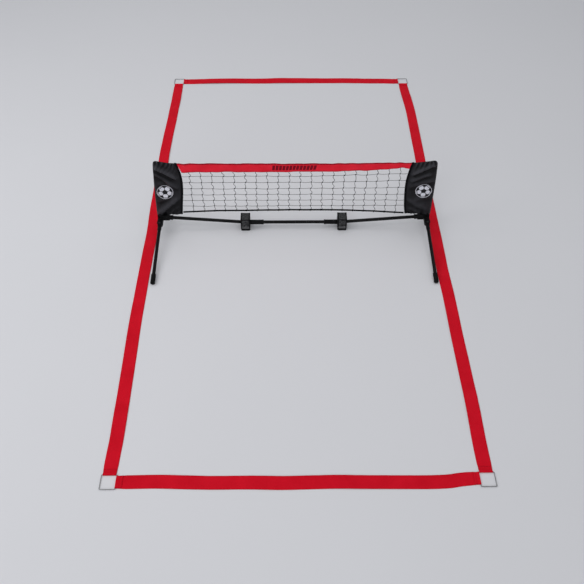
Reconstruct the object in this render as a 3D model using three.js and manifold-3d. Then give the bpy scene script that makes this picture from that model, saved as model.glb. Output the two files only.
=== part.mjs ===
// A portable football-tennis set: four webbing lines that mark a small court, joined by wire rings at its
// corners, and a low net on a frame that stands across the middle of it.
// Millimetres, +Z up. The origin is the centre of the court on the ground. The net runs along X, the court along Y.
import * as THREE from 'three';
import { mergeVertices } from 'three/addons/utils/BufferGeometryUtils.js';
import Module from 'manifold-3d';

const wasm = await Module();
wasm.setup();

// Driving dimensions. GAP is the clearance between pieces that touch.
const GAP = 0.3;

// Court: the corner rings' centres are at x = +-COURT_X and y = +-COURT_Y.
const COURT_X = 611;
const COURT_Y = 1194;
const WEB_WIDTH = 48;
const WEB_THICK = 1.2;
const RING_INNER = 48.6;
const WIRE = 2.4;
const RING_CORNER = 4;
const EYE_RADIUS = 2.5;
const EYE_HOLE = 1.6;
const EYE_WIDTH = 40;
const EYE_TAIL = 14;
const EYE_LAP = 4;
const LINE_SAMPLES = 16;

// How far each line strays outwards from its straight, as [place along it, stray].
const LEFT_STRAY = [[-1158, 1], [-1020, -2], [-750, 2], [-450, 6], [-50, 2], [90, 5], [570, 10], [820, 3], [1158, -1]];
const RIGHT_STRAY = [[-1158, -1], [-1000, -1], [-870, 2], [-500, 0], [0, 2], [500, 6], [870, 10], [985, 6], [1158, -1]];
const FRONT_STRAY = [[-575, 0], [-450, 0], [-200, 5], [100, 6], [370, 8], [575, 3]];
const BACK_STRAY = [[-575, 2], [-300, 6], [100, 8], [400, 7], [575, 3]];

// Net frame: it stands NET_SETBACK behind the middle of the court.
const NET_SETBACK = 20;
const TUBE_RADIUS = 7;
const TUBE_BORE = 6;
const HUB_X = 573;
const HUB_HALF = 11;
const SOCKET_RADIUS = 10;
const SOCKET_MOUTH_X = 520;
const SOCKET_SHORT = 3;
const BOSS_RADIUS = 9.5;
const BOSS_TOP = 82;
const BLOCK_REACH = 39;
const BLOCK_HALF = 11;
const BLOCK_BOTTOM = 46;
const BLOCK_TOP = 73;
const BLOCK_SLOPE = 8;
const BAR_HEIGHT = 26;
const BAR_RISE = 5.1 * Math.PI / 180;
const BAR_DEPTH_IN_HUB = 35;
const BAR_PAST_FOOT_MIDDLE = 4;

// Support feet and the couplers that hold the middle bar in them.
const FOOT_X = 209;
const FOOT_WIDTH = 40;
const FOOT_DEPTH = 50;
const FOOT_TOP = 61;
const FOOT_CORNER = 6;
const FOOT_RIM = 2;
const FOOT_SHOULDER = 9;
const SOLE_DEPTH = 56;
const SOLE_HEIGHT = 10;
const COUPLER_RADIUS = 10;
const COUPLER_MOUTH_X = 131;
const COUPLER_END_X = 198.5;
const BAR_MIDDLE_END_X = 193;

// Legs: each turns about an upright pin and slopes down to a rubber cap that stands on the ground.
const PIVOT_Y = 38;
const PIVOT_Z = 50;
const PLATE_RADIUS = 12;
const PLATE_THICK = 4;
const TONGUE_THICK = 9.4;
const TONGUE_RADIUS = 9;
const COLLAR_START = 13.5;
const COLLAR_END = 34;
const COLLAR_RADIUS = 8.5;
const SPIGOT_LENGTH = 24;
const PIN_RADIUS = 2.5;
const PIN_HEAD_RADIUS = 4.5;
const PIN_HEAD = 1.5;
const LEG_REACH = 312;
const CAP_RADIUS = 9.5;
const CAP_LENGTH = 45;
const CAP_FLOOR = 7;
const CAP_ROUND = 1.5;
const CAP_END_HEIGHT = 9.25;
const LEG_TILT = Math.asin((PIVOT_Z - CAP_END_HEIGHT) / LEG_REACH);

// Posts: bendy rods that the net pulls inwards at the top, the left one further.
const POST_RADIUS = 5;
const POST_BASE = 50.3;
const POST_STRAIGHT_TOP = 90;
const POST_TOP = 344;
const POST_BOW = { left: 13, right: 7 };
const POST_CAP_RADIUS = 6;
const POST_CAP_LENGTH = 15;

// Net: sleeves over the posts, a band along the top, the mesh and a cord along the bottom.
const SLEEVE_BOTTOM = 74;
const SLEEVE_TOP_OUT = 353;
const SLEEVE_TOP_JOIN = 350;
const SLEEVE_TOP_IN = 343;
const SLEEVE_BOTTOM_X = 585.5;
const SLEEVE_TOP_X = { left: 569, right: 577 };
const SEAM_TOP_X = 476;
const SEAM_BOTTOM_X = 477;
const SEAM_PULL = { left: [446, 262], right: [446, 225] };
const POCKET_INNER_X = 552;
const POCKET_HALF = 10;
const POCKET_TOP = 348.5;
const CLOTH = 1;
const SIDE_WALL = 1.5;
const PANEL_THICK = 3;
const BAND_BOTTOM = 298.6;
const BAND_TOP = 343;
const BAND_SLANT = 8;
const MESH_HALF = 460;
const MESH_VERTICALS = 20;
const MESH_PITCH = 45.3;
const MESH_BOTTOM = 95.4;
const MESH_TOP = 298;
const MESH_FIRST_ROW = 118.6;
const MESH_ROW_PITCH = 31.5;
const MESH_ROWS = 6;
const TWINE = 1.6;
const CORD_RADIUS = 2.5;
const CORD_END_Z = 86;
const CORD_MIDDLE_Z = 92.5;
const CORD_END_X = 472.5;

// Materials.
const finish = (color, roughness, metalness = 0) => new THREE.MeshStandardMaterial({ color, roughness, metalness });
const RED_WEBBING = finish(0xc41a2e, 0.6);
const RED_BAND = finish(0xd8344a, 0.65);
const STEEL_WIRE = finish(0x9a9ca0, 0.3, 1);
const BLACK_PLASTIC = finish(0x1e1f21, 0.5);
const BLACK_TUBE = finish(0x17181a, 0.35, 0.3);
const BLACK_RUBBER = finish(0x232426, 0.8);
const BLACK_CLOTH = finish(0x26252b, 0.8);
const BLACK_TWINE = finish(0x101113, 0.9);
const STEEL_PIN = finish(0x6a6c70, 0.35, 1);

function named(name, geometry, material) {
  const mesh = new THREE.Mesh(geometry, material);
  mesh.name = name;
  return mesh;
}

// Booleans: a closed geometry becomes a solid, and a solid becomes a geometry again.
function solidOf(geometry) {
  const bare = new THREE.BufferGeometry();
  const loose = geometry.index ? geometry.toNonIndexed() : geometry;
  bare.setAttribute('position', loose.getAttribute('position'));
  const merged = mergeVertices(bare, 1e-3);
  return new wasm.Manifold(new wasm.Mesh({
    numProp: 3,
    vertProperties: merged.attributes.position.array,
    triVerts: new Uint32Array(merged.index.array),
  }));
}

function geometryOf(solid) {
  const mesh = solid.getMesh();
  const geometry = new THREE.BufferGeometry();
  geometry.setAttribute('position', new THREE.BufferAttribute(mesh.vertProperties, 3));
  geometry.setIndex(new THREE.BufferAttribute(mesh.triVerts, 1));
  return geometry;
}

function join(...geometries) {
  return geometryOf(geometries.map(solidOf).reduce((sum, solid) => sum.add(solid)));
}

function cut(geometry, ...tools) {
  return geometryOf(tools.map(solidOf).reduce((rest, tool) => rest.subtract(tool), solidOf(geometry)));
}

// Basic shapes. A revolved profile is [distance along, radius] pairs, and its axis is X.
function revolved(profile, sides = 16) {
  const points = profile.map(([along, radius]) => new THREE.Vector2(radius, along));
  return new THREE.LatheGeometry(points, sides).rotateZ(-Math.PI / 2);
}

function rod(radius, from, to, sides = 16) {
  return revolved([[from, 0], [from, radius], [to, radius], [to, 0]], sides);
}

function tube(outer, inner, from, to, sides = 16) {
  return revolved([[from, inner], [from, outer], [to, outer], [to, inner], [from, inner]], sides);
}

function upright(geometry) {
  return geometry.rotateY(-Math.PI / 2);
}

function slab(shape, thickness, z) {
  return new THREE.ExtrudeGeometry(shape, { depth: thickness, bevelEnabled: false, curveSegments: 5 })
    .translate(0, 0, z);
}

// A shape drawn as x across and y up, stood up in the XZ plane with its thickness centred on y = 0.
function panel(shape, thickness) {
  return new THREE.ExtrudeGeometry(shape, { depth: thickness, bevelEnabled: false, curveSegments: 10 })
    .rotateX(Math.PI / 2)
    .translate(0, thickness / 2, 0);
}

function outline(points) {
  return new THREE.Shape(points.map(([x, y]) => new THREE.Vector2(x, y)));
}

function roundedRectangle(width, height, radius) {
  const x = width / 2;
  const y = height / 2;
  const shape = new THREE.Shape();
  shape.moveTo(x, -y + radius);
  shape.absarc(x - radius, y - radius, radius, 0, Math.PI / 2);
  shape.absarc(-x + radius, y - radius, radius, Math.PI / 2, Math.PI);
  shape.absarc(-x + radius, -y + radius, radius, Math.PI, 1.5 * Math.PI);
  shape.absarc(x - radius, -y + radius, radius, 1.5 * Math.PI, 2 * Math.PI);
  return shape;
}

function circle(radius, x = 0, y = 0) {
  return new THREE.Shape().absarc(x, y, radius, 0, 2 * Math.PI);
}

// --- Court -------------------------------------------------------------------------------------------------

// The folded end of a line, sewn round the ring's wire. The wire runs along X through the eye.
function eye() {
  const profile = new THREE.Shape();
  profile.moveTo(EYE_TAIL, 0);
  profile.lineTo(EYE_TAIL, WEB_THICK);
  profile.lineTo(EYE_RADIUS, 2 * WEB_THICK);
  profile.absarc(0, EYE_RADIUS, EYE_RADIUS, Math.PI / 3, 1.5 * Math.PI);
  profile.holes.push(circle(EYE_HOLE, 0, EYE_RADIUS));
  return new THREE.ExtrudeGeometry(profile, { depth: EYE_WIDTH, bevelEnabled: false, curveSegments: 6 })
    .rotateX(Math.PI / 2)
    .rotateZ(Math.PI / 2)
    .translate(-EYE_WIDTH / 2, 0, 0);
}

// A line lies along Y between two ring wires, at y = +-reach, and strays to +X.
function line(reach, stray) {
  const run = new THREE.SplineCurve(stray.map(([along, off]) => new THREE.Vector2(off, along)));
  const middle = run.getPoints(LINE_SAMPLES);
  const half = WEB_WIDTH / 2;
  const end = reach - EYE_TAIL + EYE_LAP;
  const tip = EYE_WIDTH / 2;
  const shape = outline([
    [-tip, -end],
    [tip, -end],
    ...middle.slice(1, -1).map((p) => [p.x + half, p.y]),
    [tip, end],
    [-tip, end],
    ...middle.slice(1, -1).reverse().map((p) => [p.x - half, p.y]),
  ]);
  return join(
    slab(shape, WEB_THICK, 0),
    eye().translate(0, -reach, 0),
    eye().rotateZ(Math.PI).translate(0, reach, 0),
  );
}

// A square ring of round wire, lying flat in the eyes of the two lines that it joins.
function ring() {
  const bevel = 0.7;
  const shape = roundedRectangle(RING_INNER + 2 * WIRE, RING_INNER + 2 * WIRE, RING_CORNER);
  shape.holes.push(roundedRectangle(RING_INNER, RING_INNER, RING_CORNER - WIRE));
  return new THREE.ExtrudeGeometry(shape, {
    depth: WIRE - 2 * bevel,
    bevelThickness: bevel,
    bevelSize: bevel,
    bevelOffset: -bevel,
    bevelSegments: 1,
    curveSegments: 2,
  }).translate(0, 0, EYE_RADIUS - WIRE / 2 + bevel);
}

function court() {
  const group = new THREE.Group();
  const wire = (RING_INNER + WIRE) / 2;
  const lines = [
    ['line_right', COURT_Y - wire, RIGHT_STRAY, COURT_X, 0, 0],
    ['line_left', COURT_Y - wire, LEFT_STRAY.map(([y, off]) => [y, -off]), -COURT_X, 0, 0],
    ['line_front', COURT_X - wire, FRONT_STRAY, 0, -COURT_Y, -Math.PI / 2],
    ['line_back', COURT_X - wire, BACK_STRAY.map(([x, off]) => [x, -off]), 0, COURT_Y, -Math.PI / 2],
  ];
  for (const [name, reach, stray, x, y, turn] of lines) {
    const mesh = named(name, line(reach, stray), RED_WEBBING);
    mesh.position.set(x, y, 0);
    mesh.rotation.z = turn;
    group.add(mesh);
  }
  for (const [side, x] of [['left', -COURT_X], ['right', COURT_X]]) {
    for (const [end, y] of [['front', -COURT_Y], ['back', COURT_Y]]) {
      const mesh = named(`ring_${end}_${side}`, ring(), STEEL_WIRE);
      mesh.position.set(x, y, 0);
      group.add(mesh);
    }
  }
  return group;
}

// --- Net frame ---------------------------------------------------------------------------------------------
// Everything here is the right half, about the frame's own middle. The left half is the same, turned round.

// Two plates, above and below the leg's tongue, and the block between them and the boss.
function legBracket(direction) {
  const outside = (TONGUE_THICK + 2 * GAP) / 2 + PLATE_THICK;
  const shape = new THREE.Shape();
  shape.moveTo(-HUB_HALF, 0);
  shape.lineTo(HUB_HALF, 0);
  shape.lineTo(PLATE_RADIUS, direction * PIVOT_Y);
  shape.absarc(0, direction * PIVOT_Y, PLATE_RADIUS, 0, direction * Math.PI, direction < 0);
  const block = slab(shape, 2 * outside, PIVOT_Z - outside);
  const slotDepth = PLATE_RADIUS + TONGUE_RADIUS + 4;
  const slot = new THREE.BoxGeometry(4 * PLATE_RADIUS, slotDepth, TONGUE_THICK + 2 * GAP);
  slot.translate(0, direction * (PIVOT_Y + PLATE_RADIUS + 2 - slotDepth / 2), PIVOT_Z);
  const hole = upright(rod(PIN_RADIUS + GAP, -outside - 1, outside + 1)).translate(0, direction * PIVOT_Y, PIVOT_Z);
  return cut(block, slot, hole);
}

// The bar's axis passes through the hub at this height.
const BAR_Z_AT_HUB = BAR_HEIGHT + (HUB_X - FOOT_X) * Math.tan(BAR_RISE);

// Lays a shape made along X on the sloping side bar, with x = 0 at the hub's middle.
function alongBar(geometry) {
  return geometry.rotateY(-BAR_RISE).translate(0, 0, BAR_Z_AT_HUB);
}

// The solid corner between the bar's socket and the post's boss.
function hubBlock() {
  return panel(outline([
    [-BLOCK_REACH, BLOCK_BOTTOM],
    [HUB_HALF, BLOCK_BOTTOM],
    [HUB_HALF, BLOCK_TOP],
    [BLOCK_SLOPE - BLOCK_REACH, BLOCK_TOP],
    [-BLOCK_REACH, BLOCK_TOP - BLOCK_SLOPE],
  ]), 2 * BLOCK_HALF);
}

function hub() {
  const socketLength = (HUB_X - SOCKET_MOUTH_X) / Math.cos(BAR_RISE);
  const under = PIVOT_Z - TONGUE_THICK / 2 - GAP - PLATE_THICK;
  const boss = upright(rod(BOSS_RADIUS, under, BOSS_TOP));
  const socket = alongBar(rod(SOCKET_RADIUS, -socketLength, -SOCKET_SHORT));
  const body = join(boss, socket, hubBlock(), legBracket(1), legBracket(-1));
  const postBore = upright(rod(POST_RADIUS + GAP, POST_BASE - GAP, BOSS_TOP + 1));
  const barBore = alongBar(rod(TUBE_RADIUS + GAP, -socketLength - 1, BAR_DEPTH_IN_HUB + GAP - socketLength));
  return cut(body, postBore, barBore);
}

// The side bar runs from inside the hub down to inside the support foot.
function sideBar() {
  const hubEnd = BAR_DEPTH_IN_HUB - (HUB_X - SOCKET_MOUTH_X) / Math.cos(BAR_RISE);
  const footEnd = -(HUB_X - FOOT_X + BAR_PAST_FOOT_MIDDLE) / Math.cos(BAR_RISE);
  return alongBar(tube(TUBE_RADIUS, TUBE_BORE, footEnd, hubEnd));
}

// A block seen from the end: straight sides that flare out over the sole, and a rounded top.
function footSection() {
  const half = FOOT_DEPTH / 2;
  const flare = SOLE_DEPTH / 2;
  const base = SOLE_HEIGHT + GAP;
  const shape = new THREE.Shape();
  shape.moveTo(-flare, base);
  shape.lineTo(flare, base);
  shape.lineTo(flare, base + FOOT_RIM);
  shape.lineTo(half, base + FOOT_SHOULDER);
  shape.absarc(half - FOOT_CORNER, FOOT_TOP - FOOT_CORNER, FOOT_CORNER, 0, Math.PI / 2);
  shape.absarc(-half + FOOT_CORNER, FOOT_TOP - FOOT_CORNER, FOOT_CORNER, Math.PI / 2, Math.PI);
  shape.lineTo(-half, base + FOOT_SHOULDER);
  shape.lineTo(-flare, base + FOOT_RIM);
  return shape;
}

// The foot's two bores meet the level coupler on one side and the sloping side bar on the other.
function foot() {
  const bevel = 2;
  const block = new THREE.ExtrudeGeometry(footSection(), {
    depth: FOOT_WIDTH - 2 * bevel,
    bevelThickness: bevel,
    bevelSize: 1.5,
    bevelOffset: -1.5,
    bevelSegments: 2,
    curveSegments: 5,
  }).translate(0, 0, bevel - FOOT_WIDTH / 2);
  block.rotateX(Math.PI / 2).rotateZ(Math.PI / 2);
  const couplerBore = rod(COUPLER_RADIUS + GAP, -FOOT_WIDTH, COUPLER_END_X + GAP - FOOT_X);
  const boreEnd = -(HUB_X - FOOT_X + BAR_PAST_FOOT_MIDDLE + GAP) / Math.cos(BAR_RISE);
  const barBore = alongBar(rod(TUBE_RADIUS + GAP, boreEnd, 0))
    .translate(HUB_X - FOOT_X, 0, -BAR_HEIGHT);
  return cut(block, couplerBore.translate(0, 0, BAR_HEIGHT), barBore.translate(0, 0, BAR_HEIGHT));
}

function sole() {
  return slab(roundedRectangle(FOOT_WIDTH - 1, SOLE_DEPTH - 1, 5), SOLE_HEIGHT, 0);
}

function coupler() {
  return tube(COUPLER_RADIUS, TUBE_RADIUS + GAP, COUPLER_MOUTH_X, COUPLER_END_X);
}

// A flat tongue on the pin, a collar that the tube butts against and a spigot inside the tube.
function knuckle() {
  const tongue = new THREE.Shape();
  tongue.moveTo(COLLAR_START + 6, -TONGUE_RADIUS + 2);
  tongue.lineTo(COLLAR_START + 6, TONGUE_RADIUS - 2);
  tongue.lineTo(0, TONGUE_RADIUS);
  tongue.absarc(0, 0, TONGUE_RADIUS, Math.PI / 2, 1.5 * Math.PI);
  const collar = rod(COLLAR_RADIUS, COLLAR_START, COLLAR_END).rotateY(LEG_TILT);
  const spigot = rod(TUBE_BORE - GAP, COLLAR_END - 2, COLLAR_END + SPIGOT_LENGTH).rotateY(LEG_TILT);
  const hole = upright(rod(PIN_RADIUS + GAP, -TONGUE_THICK, TONGUE_THICK));
  return cut(join(slab(tongue, TONGUE_THICK, -TONGUE_THICK / 2), collar, spigot), hole);
}

function legTube() {
  return tube(TUBE_RADIUS, TUBE_BORE, COLLAR_END + GAP, LEG_REACH - CAP_FLOOR - GAP).rotateY(LEG_TILT);
}

// A cup over the end of the leg, with a rounded foot.
function legCap() {
  const mouth = LEG_REACH - CAP_LENGTH;
  const turn = Math.PI / 4;
  const round = [2, 1].map((step) => [
    LEG_REACH - CAP_ROUND + CAP_ROUND * Math.cos(step * turn),
    CAP_RADIUS - CAP_ROUND + CAP_ROUND * Math.sin(step * turn),
  ]);
  return revolved([
    [mouth, TUBE_RADIUS + GAP],
    [mouth, CAP_RADIUS - 1],
    [mouth + 1, CAP_RADIUS],
    ...round,
    [LEG_REACH, CAP_RADIUS - CAP_ROUND],
    [LEG_REACH, 0],
    [LEG_REACH - CAP_FLOOR, 0],
    [LEG_REACH - CAP_FLOOR, TUBE_RADIUS + GAP],
    [mouth, TUBE_RADIUS + GAP],
  ]).rotateY(LEG_TILT);
}

// A rivet with a head above and below the two plates.
function pin() {
  const shank = TONGUE_THICK / 2 + GAP + PLATE_THICK + GAP;
  const head = shank + PIN_HEAD;
  return upright(revolved([
    [-head, 0],
    [-head, PIN_HEAD_RADIUS],
    [-shank, PIN_HEAD_RADIUS],
    [-shank, PIN_RADIUS],
    [shank, PIN_RADIUS],
    [shank, PIN_HEAD_RADIUS],
    [head, PIN_HEAD_RADIUS],
    [head, 0],
  ], 12));
}

// The post stands straight in the hub, then bows inwards.
function post(bow) {
  const bowed = POST_TOP - POST_STRAIGHT_TOP;
  const at = (share) => new THREE.Vector3(-bow * share ** 1.3, 0, POST_STRAIGHT_TOP + bowed * share);
  const path = new THREE.CatmullRomCurve3([
    new THREE.Vector3(0, 0, POST_BASE),
    new THREE.Vector3(0, 0, POST_STRAIGHT_TOP - 10),
    ...[0.15, 0.4, 0.7, 1].map(at),
  ]);
  return new THREE.ExtrudeGeometry(circle(POST_RADIUS), { steps: 14, extrudePath: path, curveSegments: 5 });
}

// A plug over the post's top end.
function postCap(bow) {
  const low = POST_TOP + 2 - POST_CAP_LENGTH;
  const top = POST_TOP + GAP;
  const lean = Math.atan(1.3 * bow / (POST_TOP - POST_STRAIGHT_TOP));
  const cup = upright(revolved([
    [low - top, POST_RADIUS + GAP],
    [low - top, POST_CAP_RADIUS],
    [1, POST_CAP_RADIUS],
    [2, POST_CAP_RADIUS - 2],
    [2, 0],
    [0, 0],
    [0, POST_RADIUS + GAP],
    [low - top, POST_RADIUS + GAP],
  ]));
  return cup.rotateY(-lean).translate(-bow, 0, top);
}

function leg(name) {
  const group = new THREE.Group();
  group.add(
    named(`knuckle_${name}`, knuckle(), BLACK_PLASTIC),
    named(`leg_${name}`, legTube(), BLACK_TUBE),
    named(`leg_cap_${name}`, legCap(), BLACK_RUBBER),
    named(`leg_pin_${name}`, pin(), STEEL_PIN),
  );
  return group;
}

function frameHalf(side, facing) {
  const half = new THREE.Group();
  const atHub = new THREE.Group();
  atHub.position.x = HUB_X;
  atHub.add(
    named(`hub_${side}`, hub(), BLACK_PLASTIC),
    named(`bar_${side}`, sideBar(), BLACK_TUBE),
    named(`post_${side}`, post(POST_BOW[side]), BLACK_PLASTIC),
    named(`post_cap_${side}`, postCap(POST_BOW[side]), BLACK_PLASTIC),
  );
  for (const [end, direction] of [['front', -facing], ['rear', facing]]) {
    const placed = leg(`${end}_${side}`);
    placed.position.set(0, direction * PIVOT_Y, PIVOT_Z);
    placed.rotation.z = direction * Math.PI / 2;
    atHub.add(placed);
  }
  const atFoot = new THREE.Group();
  atFoot.position.x = FOOT_X;
  atFoot.add(named(`foot_${side}`, foot(), BLACK_PLASTIC), named(`sole_${side}`, sole(), BLACK_RUBBER));
  const link = named(`coupler_${side}`, coupler(), BLACK_PLASTIC);
  link.position.z = BAR_HEIGHT;
  half.add(atHub, atFoot, link);
  half.rotation.z = facing > 0 ? 0 : Math.PI;
  return half;
}

function middleBar() {
  const mesh = named('bar_middle', tube(TUBE_RADIUS, TUBE_BORE, -BAR_MIDDLE_END_X, BAR_MIDDLE_END_X), BLACK_TUBE);
  mesh.position.z = BAR_HEIGHT;
  return mesh;
}

// --- Net ---------------------------------------------------------------------------------------------------

// The seam between sleeve and mesh, from its bottom to its top, bows towards the middle of the net.
function seam(side) {
  return new THREE.QuadraticBezierCurve(
    new THREE.Vector2(SEAM_BOTTOM_X, SLEEVE_BOTTOM),
    new THREE.Vector2(...SEAM_PULL[side]),
    new THREE.Vector2(SEAM_TOP_X, SLEEVE_TOP_IN),
  );
}

function seamX(side, z) {
  const points = seam(side).getPoints(200);
  return points.reduce((best, p) => (Math.abs(p.y - z) < Math.abs(best.y - z) ? p : best)).x;
}

// A pocket round the post, closed at the top, and the doubled cloth that carries on to the seam.
function sleeve(side) {
  const joinX = POCKET_INNER_X + 1;
  const topX = SLEEVE_TOP_X[side];
  const flat = new THREE.Shape();
  flat.moveTo(SEAM_BOTTOM_X, SLEEVE_BOTTOM);
  flat.lineTo(joinX, SLEEVE_BOTTOM);
  flat.lineTo(joinX, SLEEVE_TOP_JOIN);
  flat.lineTo(SEAM_TOP_X, SLEEVE_TOP_IN);
  flat.quadraticCurveTo(...SEAM_PULL[side], SEAM_BOTTOM_X, SLEEVE_BOTTOM);
  const outside = outline([
    [POCKET_INNER_X - SIDE_WALL, SLEEVE_BOTTOM],
    [SLEEVE_BOTTOM_X, SLEEVE_BOTTOM],
    [topX, SLEEVE_TOP_OUT],
    [POCKET_INNER_X - SIDE_WALL, SLEEVE_TOP_JOIN + 1],
  ]);
  const inside = outline([
    [POCKET_INNER_X, SLEEVE_BOTTOM - 1],
    [SLEEVE_BOTTOM_X - SIDE_WALL, SLEEVE_BOTTOM - 1],
    [topX - SIDE_WALL, POCKET_TOP],
    [POCKET_INNER_X, POCKET_TOP],
  ]);
  const shell = join(panel(outside, 2 * (POCKET_HALF + CLOTH)), panel(flat, PANEL_THICK));
  return cut(shell, panel(inside, 2 * POCKET_HALF));
}

// The band's right end follows the seam, and its left end is cut on more of a slant.
function band() {
  const end = (side, z) => seamX(side, z) - 4 * GAP;
  return panel(outline([
    [BAND_SLANT - end('left', BAND_BOTTOM), BAND_BOTTOM],
    [end('right', BAND_BOTTOM), BAND_BOTTOM],
    [end('right', BAND_TOP), BAND_TOP],
    [-end('left', BAND_TOP), BAND_TOP],
  ]), PANEL_THICK);
}

// Twine in oblong cells: one plate of the outer size with every cell cut out of it.
function mesh() {
  const box = (x0, x1, z0, z1, thickness) => new THREE.BoxGeometry(x1 - x0, thickness, z1 - z0)
    .translate((x0 + x1) / 2, 0, (z0 + z1) / 2);
  const half = TWINE / 2;
  const rows = Array.from({ length: MESH_ROWS }, (_, row) => MESH_FIRST_ROW + row * MESH_ROW_PITCH);
  const heights = [MESH_BOTTOM + half, ...rows, MESH_TOP - half];
  const middle = (MESH_VERTICALS - 1) / 2;
  const verticals = Array.from({ length: MESH_VERTICALS }, (_, column) => (column - middle) * MESH_PITCH);
  const sides = [-MESH_HALF, ...verticals, MESH_HALF];
  const cells = [];
  for (let column = 0; column < sides.length - 1; column += 1) {
    for (let row = 0; row < heights.length - 1; row += 1) {
      const [left, right, low, high] = [sides[column], sides[column + 1], heights[row], heights[row + 1]];
      cells.push(box(left + half, right - half, low + half, high - half, 2 * TWINE));
    }
  }
  return cut(box(-MESH_HALF - half, MESH_HALF + half, MESH_BOTTOM, MESH_TOP, TWINE), ...cells);
}

function bottomCord() {
  const path = new THREE.QuadraticBezierCurve3(
    new THREE.Vector3(-CORD_END_X, 0, CORD_END_Z),
    new THREE.Vector3(0, 0, 2 * CORD_MIDDLE_Z - CORD_END_Z),
    new THREE.Vector3(CORD_END_X, 0, CORD_END_Z),
  );
  return new THREE.ExtrudeGeometry(circle(CORD_RADIUS), { steps: 14, extrudePath: path, curveSegments: 4 });
}

function net() {
  const group = new THREE.Group();
  const right = named('sleeve_right', sleeve('right'), BLACK_CLOTH);
  const left = named('sleeve_left', sleeve('left'), BLACK_CLOTH);
  left.rotation.z = Math.PI;
  group.add(
    right,
    left,
    named('net_band', band(), RED_BAND),
    named('net_mesh', mesh(), BLACK_TWINE),
    named('net_cord', bottomCord(), BLACK_TWINE),
  );
  return group;
}

const frame = new THREE.Group();
frame.position.y = NET_SETBACK;
frame.add(frameHalf('right', 1), frameHalf('left', -1), middleBar(), net());

const root = new THREE.Group();
root.add(court(), frame);

export default root;
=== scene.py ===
"""A portable football-tennis set: four webbing lines round a small court, and a low net on a folding frame.

Every size is in metres, in the frame of the CAD model: X along the net, Y along the court, Z up.
"""
import math

import bpy
import numpy as np
from mathutils import Matrix, Vector, noise


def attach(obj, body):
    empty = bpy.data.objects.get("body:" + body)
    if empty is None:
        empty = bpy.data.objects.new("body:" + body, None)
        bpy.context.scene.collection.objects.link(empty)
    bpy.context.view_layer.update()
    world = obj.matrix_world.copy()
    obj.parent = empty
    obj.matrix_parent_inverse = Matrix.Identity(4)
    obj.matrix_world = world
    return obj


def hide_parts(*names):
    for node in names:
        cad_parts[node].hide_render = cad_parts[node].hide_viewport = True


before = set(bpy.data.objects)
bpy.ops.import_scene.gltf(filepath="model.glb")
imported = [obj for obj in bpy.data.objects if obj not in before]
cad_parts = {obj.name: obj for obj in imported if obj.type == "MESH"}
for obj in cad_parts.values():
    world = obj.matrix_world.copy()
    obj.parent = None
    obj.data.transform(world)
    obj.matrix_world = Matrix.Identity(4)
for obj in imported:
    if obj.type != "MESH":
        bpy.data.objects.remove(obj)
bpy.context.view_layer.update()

MM = 0.001

# Court.
COURT_X, COURT_Y = 0.611, 1.194
WEB_HALF = 0.024
EYE_HALF = 0.0222
WEB_THICK = 0.0011
# The webbing darkens from the second of these distances off its edge to the first.
SELVEDGE = (0.0010, 0.0040)
RING_INNER, WIRE, RING_CORNER = 0.0486, 0.0024, 0.004
WIRE_Z = 0.0025
LOOP_RADIUS = 0.0018
HEM = 0.021
# How the webbing lies, as the (height, length) of each kind of wave in it.
WANDER, LIFT, RIPPLE = (0.0016, 0.16), (0.0020, 0.20), (0.0005, 0.05)
TILT, CURL = (0.0022, 0.26), (0.0010, 0.15)
THREAD = 0.0006

# Net frame. FIT is the play between two parts, one in the other.
NET_Y = 0.020
FIT = 0.0003
# Voxel size and rounds of softening of each kind of moulded skin.
PANEL_SKIN, BODY_SKIN, HUB_SKIN = (0.0005, 3), (0.0008, 4), (0.0009, 6)
TUBE_SIDES, BORE_SHOWN = 40, 0.012
GROOVE_PITCH, GROOVE_SLOPE = 0.006, 0.0008
TUBE_RADIUS, TUBE_BORE = 0.007, 0.006
HUB_X, HUB_HALF = 0.573, 0.011
SOCKET_RADIUS, SOCKET_MOUTH_X = 0.010, 0.520
BOSS_RADIUS, BOSS_TOP = 0.0095, 0.082
BLOCK_REACH, BLOCK_HALF, BLOCK_BOTTOM, BLOCK_TOP = 0.039, 0.011, 0.046, 0.073
BAR_HEIGHT = 0.026
BAR_RISE = math.radians(5.1)
FOOT_X, FOOT_WIDTH, FOOT_DEPTH, FOOT_TOP = 0.209, 0.040, 0.050, 0.061
BAR_Z_AT_HUB = BAR_HEIGHT + (HUB_X - FOOT_X) * math.tan(BAR_RISE)
SOCKET_LENGTH = (HUB_X - SOCKET_MOUTH_X) / math.cos(BAR_RISE)
FOOT_PLATE, PANEL_BOTTOM, STRIP_BOTTOM = 0.0055, 0.0205, 0.0118
SOLE_DEPTH, SOLE_HEIGHT = 0.056, 0.010
COUPLER_RADIUS, COUPLER_MOUTH_X, COUPLER_END_X = 0.010, 0.131, 0.1985
BAR_MIDDLE_END_X = 0.193
PIVOT_Y, PIVOT_Z = 0.038, 0.050
PLATE_RADIUS, PLATE_THICK = 0.012, 0.004
TONGUE_THICK, TONGUE_RADIUS = 0.0094, 0.009
COLLAR_START, COLLAR_END, COLLAR_RADIUS = 0.0135, 0.034, 0.0085
LEG_REACH = 0.312
CAP_RADIUS, CAP_LENGTH, CAP_END_HEIGHT = 0.0095, 0.045, 0.00925
LEG_TILT = math.asin((PIVOT_Z - CAP_END_HEIGHT) / LEG_REACH)
PIN_RADIUS, PIN_HEAD_RADIUS = 0.0025, 0.0045
POST_RADIUS, POST_BASE, POST_STRAIGHT, POST_TOP = 0.005, 0.0503, 0.090, 0.344
POST_BOW = {"left": 0.013, "right": 0.007}

# Net.
SLEEVE_BOTTOM, SLEEVE_TOP_IN = 0.0745, 0.3425
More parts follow.
